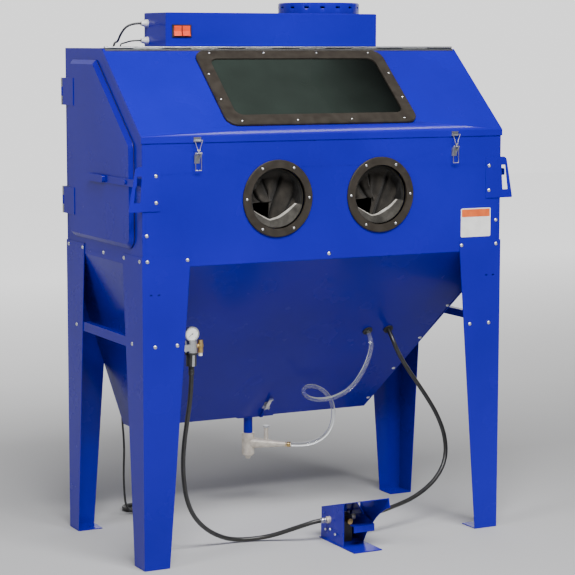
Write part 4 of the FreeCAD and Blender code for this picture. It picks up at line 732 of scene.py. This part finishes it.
def gather(sx, body):
    """The slack upper cloth, which hangs in long folds behind the ring."""
    across, down = 120, 40
    bm = bmesh.new()
    # colour layer that carries painted shade for the folded cloth material
    shade = bm.verts.layers.float_color.new("fold")
    rows = []
    for i in range(across + 1):
        t = i / across
        angle = math.radians(198 - 208 * t)
        top = Vector((math.cos(angle), math.sin(angle))) * (RIM_R - 0.001)
        spread = smoothstep(t) * 0.35 + t * 0.65
        place = spread * (len(gather_low) - 1)
        k = min(int(place), len(gather_low) - 2)
        low = Vector(gather_low[k]).lerp(Vector(gather_low[k + 1]), place - k)
        row = []
        for j in range(down + 1):
            v = j / down
            bend = 0.05 * math.sin(math.pi * v) * (0.6 - t) + 0.010 * math.sin(5 * v + 3 * sx)
            valley = 0.0
            for at, wide in gather_folds:
                gap = abs(t + bend - at - 0.03 * sx) / wide
                valley = max(valley, math.exp(-gap * gap * 1.4))
            swell = 0.5 - 0.5 * math.cos(2 * math.pi * (t + bend) * 4.4 + 1.1 + sx)
            hang = smoothstep(v / 0.22)
            depth = 0.008 + 0.030 * hang - 0.012 * smoothstep((v - 0.6) / 0.4)
            depth += hang * (0.014 * valley + 0.006 * swell)
            flat = top.lerp(low, v)
            lean = 0.51 * (depth - 0.008)
            vert = bm.verts.new((sx * PORT_X + flat.x + lean, FRONT_Y + depth, PORT_Z + flat.y))
            # painted shade: darker down in the fold valleys and across each swell
            dim = (1 - 0.85 * valley * hang) * (1 - 0.35 * swell)
            vert[shade] = (dim, dim, dim, 1)
            row.append(vert)
        rows.append(row)
    for a, b in zip(rows, rows[1:]):
        for k in range(down):
            bm.faces.new((a[k], b[k], b[k + 1], a[k + 1]))
    bmesh.ops.recalc_face_normals(bm, faces=bm.faces)
    name = "glove_gather_" + ("right" if sx > 0 else "left")
    mesh = bpy.data.meshes.new(name)
    bm.to_mesh(mesh)
    bm.free()
    shade_smooth(mesh)
    obj = new_object(name, mesh, FOLDED, body)
    thicken = obj.modifiers.new("wall", "SOLIDIFY")
    thicken.thickness = CLOTH_WALL
    return obj


def cuff(sx, body):
    """The pale hem of the glove, folded over along the bottom of the opening."""
    steps = 44
    bm = bmesh.new()
    rows = []
    for i in range(steps + 1):
        t = i / steps
        near = [along_edge(max(0.0, min(1.0, t + d))) for d in (-0.03, 0.0, 0.03)]
        edge = (near[0] + near[1] * 2 + near[2]) / 4
        angle = math.atan2(edge.y, edge.x)
        low = Vector((math.cos(angle), math.sin(angle))) * (RIM_R - 0.0015)
        wave = 0.0016 * math.sin(19 * t + sx)
        row = []
        for share, depth in ((0.0, 0.004), (0.3, 0.007), (0.6, 0.0105), (0.85, 0.013), (0.97, 0.0155),
                             (1.0, 0.018), (0.96, 0.0205), (0.8, 0.024), (0.5, 0.028)):
            flat = low.lerp(edge, share)
            y = FRONT_Y + depth + wave * share
            row.append(bm.verts.new((sx * PORT_X + flat.x, y, PORT_Z + flat.y)))
        rows.append(row)
    for a, b in zip(rows, rows[1:]):
        for k in range(len(a) - 1):
            bm.faces.new((a[k], b[k], b[k + 1], a[k + 1]))
    bmesh.ops.recalc_face_normals(bm, faces=bm.faces)
    name = "glove_cuff_" + ("right" if sx > 0 else "left")
    mesh = bpy.data.meshes.new(name)
    bm.to_mesh(mesh)
    bm.free()
    shade_smooth(mesh)
    obj = new_object(name, mesh, CUFF_SHADE, body)
    mesh.materials.append(CUFF)
    # painted shade: the three strips up from the rim take the darker copy of the cuff cloth, and the hem
    # and its turn-back keep the pale one
    for number, face in enumerate(mesh.polygons):
        if number % 8 >= 3:
            face.material_index = 1
    thicken = obj.modifiers.new("wall", "SOLIDIFY")
    thicken.thickness = CLOTH_WALL
    subdivide = obj.modifiers.new("smooth", "SUBSURF")
    subdivide.levels = subdivide.render_levels = 2
    return obj


for sx, node in ((-1, "glove_left"), (1, "glove_right")):
    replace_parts(sleeve(sx, "cabinet"), node)
    gather(sx, "cabinet")
    cuff(sx, "cabinet")


# ---- small details ------------------------------------------------------------------------------
def paint_faces(node, extra, rules):
    """Gives a node's faces further materials: the first rule that a face's centre meets decides."""
    mesh = nodes[node].data
    first = len(mesh.materials)
    for material in extra:
        mesh.materials.append(material)
    for face in mesh.polygons:
        for index, rule in rules:
            if rule(face.center):
                face.material_index = first + index
                break


# the regulator: brass shut-off with a pale tip, dark collar, blue clip
paint_faces("regulator_body", [BRASS, WHITE_PLASTIC, BLACK_PLASTIC, BLUE], [
    (1, lambda c: c.x > -0.4285 and c.z < 0.6345),
    (0, lambda c: c.x > -0.4285 and c.z < 0.673),
    (3, lambda c: c.x < -0.478),
    (2, lambda c: 0.6285 < c.z < 0.6365),
    (2, lambda c: c.z < 0.6285 and (c.x < -0.449 or c.x > -0.441)),
    (2, lambda c: c.z < 0.597),
])
# the pedal's valve: dark body, brass exhaust
paint_faces("pedal_valve", [BLACK_PLASTIC, BRASS], [
    (1, lambda c: c.y < -0.2745),
    (0, lambda c: abs(c.x - 0.085) < 0.0165),
])
paint_faces("mains_plug", [ZINC], [(0, lambda c: c.y > 0.4255)])

GAUGE = Vector((-0.452, -0.2985, 0.694))


def gauge_face():
    """Dial with a tick ring and plain needle; the ring is the case's own rim."""
    lathe("gauge_dial", [(0.0184, 0.0), (0.0184, 0.0004)], GAUGE + Vector((0, -0.0004, 0)), (0, -1, 0),
          DIAL, "cabinet")
    bm = bmesh.new()

    def bar(angle, inner, outer, half, lift):
        along = Vector((math.sin(angle), 0, math.cos(angle)))
        across = Vector((math.cos(angle), 0, -math.sin(angle)))
        base = GAUGE + Vector((0, -lift, 0))
        corners = [base + along * r + across * w for r, w in
                   ((inner, -half), (outer, -half), (outer, half), (inner, half))]
        front = [bm.verts.new(c + Vector((0, -0.0003, 0))) for c in corners]
        back = [bm.verts.new(c) for c in corners]
        bm.faces.new(front)
        bm.faces.new(list(reversed(back)))
        for k in range(4):
            bm.faces.new((front[k], back[k], back[(k + 1) % 4], front[(k + 1) % 4]))

    for i in range(21):
        turn = math.radians(-135 + 13.5 * i)
        inner, half = (0.0132, 0.00035) if i % 5 == 0 else (0.0146, 0.0002)
        bar(turn, inner, 0.0166, half, 0.0008)
    bar(math.radians(-128), -0.004, 0.0136, 0.00045, 0.0014)
    bmesh.ops.recalc_face_normals(bm, faces=bm.faces)
    mesh = bpy.data.meshes.new("gauge_marks")
    bm.to_mesh(mesh)
    bm.free()
    new_object("gauge_marks", mesh, BLACK_PLASTIC, "cabinet")
    lathe("gauge_pivot", [(0.0018, 0.0), (0.0018, 0.0006), (0.0012, 0.0010)],
          GAUGE + Vector((0, -0.0014, 0)), (0, -1, 0), BLACK_PLASTIC, "cabinet")


gauge_face()


def rounded_plate(name, x_range, z_range, corner, y_range, material):
    """A thin plate with rounded corners on the front wall; y_range runs from its back to its front."""
    x0, x1 = x_range
    z0, z1 = z_range
    y_back, y_front = y_range
    outline = []
    for cx, cz, start in ((x1 - corner, z1 - corner, 0), (x0 + corner, z1 - corner, 90),
                          (x0 + corner, z0 + corner, 180), (x1 - corner, z0 + corner, 270)):
        for i in range(7):
            a = math.radians(start + 15 * i)
            outline.append((cx + corner * math.cos(a), cz + corner * math.sin(a)))
    bm = bmesh.new()
    front = [bm.verts.new((x, y_front, z)) for x, z in outline]
    back = [bm.verts.new((x, y_back, z)) for x, z in outline]
    bm.faces.new(front)
    bm.faces.new(list(reversed(back)))
    for i in range(len(outline)):
        j = (i + 1) % len(outline)
        bm.faces.new((front[i], back[i], back[j], front[j]))
    bmesh.ops.recalc_face_normals(bm, faces=bm.faces)
    mesh = bpy.data.meshes.new(name)
    bm.to_mesh(mesh)
    bm.free()
    return new_object(name, mesh, material, "cabinet")


# a plain two-tone notice plate, with nothing written on it
rounded_plate("notice_plate", (0.4655, 0.5745), (0.939, 1.029), 0.004, (-0.30505, -0.3055), PLATE_WHITE)
rounded_plate("notice_band", (0.4685, 0.5715), (1.002, 1.026), 0.002, (-0.3055, -0.3058), PLATE_ORANGE)

FERRULE_BORE = 0.0068     # a little less than the hose's radius, so that it grips


def ferrule(name, place, axis, material, length):
    """A crimped hose ferrule with two rolled grooves."""
    r = FERRULE_BORE
    profile = [(r, 0), (r + 0.0016, 0.0006), (r + 0.0019, 0.003), (r + 0.0012, 0.0045), (r + 0.0019, 0.006),
               (r + 0.0019, length - 0.006), (r + 0.0012, length - 0.0045), (r + 0.0019, length - 0.003),
               (r + 0.0014, length)]
    lathe(name, profile, place, axis, material, "cabinet")


ferrule("supply_ferrule", (-0.446, -0.278, 0.568), (0, 0, 1), BLACK_PLASTIC, 0.020)
ferrule("media_ferrule", along_arm(127.0) * MM, arm_dir, BRASS, 0.018)
ferrule("pedal_in_ferrule", (0.006, -0.240, 0.070), (1, 0, 0), ZINC, 0.018)
ferrule("pedal_out_ferrule", (0.1445, -0.240, 0.070), (1, 0, 0), BRASS, 0.018)

# the tie that holds the put-away lead, as a flat loop round one side of the coil
TIE_HALF_WIDTH = 2.2
tie_bm = bmesh.new()
tie_loop = ((COIL_CENTRE[0] - 45.6, 0.2), (COIL_CENTRE[0] - 26.0, 0.2), (COIL_CENTRE[0] - 25.2, 7.2),
            (COIL_CENTRE[0] - 26.6, 15.0), (COIL_CENTRE[0] - 45.2, 15.0), (COIL_CENTRE[0] - 46.2, 7.2))
tie_rows = [[tie_bm.verts.new((x * MM, (COIL_CENTRE[1] + w) * MM, z * MM)) for x, z in tie_loop]
            for w in (-TIE_HALF_WIDTH, TIE_HALF_WIDTH)]
for k in range(len(tie_loop)):
    nxt = (k + 1) % len(tie_loop)
    tie_bm.faces.new((tie_rows[0][k], tie_rows[0][nxt], tie_rows[1][nxt], tie_rows[1][k]))
bmesh.ops.recalc_face_normals(tie_bm, faces=tie_bm.faces)
tie_mesh = bpy.data.meshes.new("lead_tie")
tie_bm.to_mesh(tie_mesh)
tie_bm.free()
lead_tie = new_object("lead_tie", tie_mesh, BLACK_PLASTIC, "cabinet")
tie_wall = lead_tie.modifiers.new("wall", "SOLIDIFY")
tie_wall.thickness = 0.0009

# bolts on the pedal's outer cheek
for number, (y, z) in enumerate(((-0.2206, 0.0357), (-0.2514, 0.0419), (-0.284, 0.033))):
    lathe("pedal_bolt_%d" % number, [(0.0045, 0.0), (0.0045, 0.0012), (0.0036, 0.0026), (0.0016, 0.0032)],
          (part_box("pedal_base")[0].x, y, z), (-1, 0, 0), ZINC, "cabinet", 24)
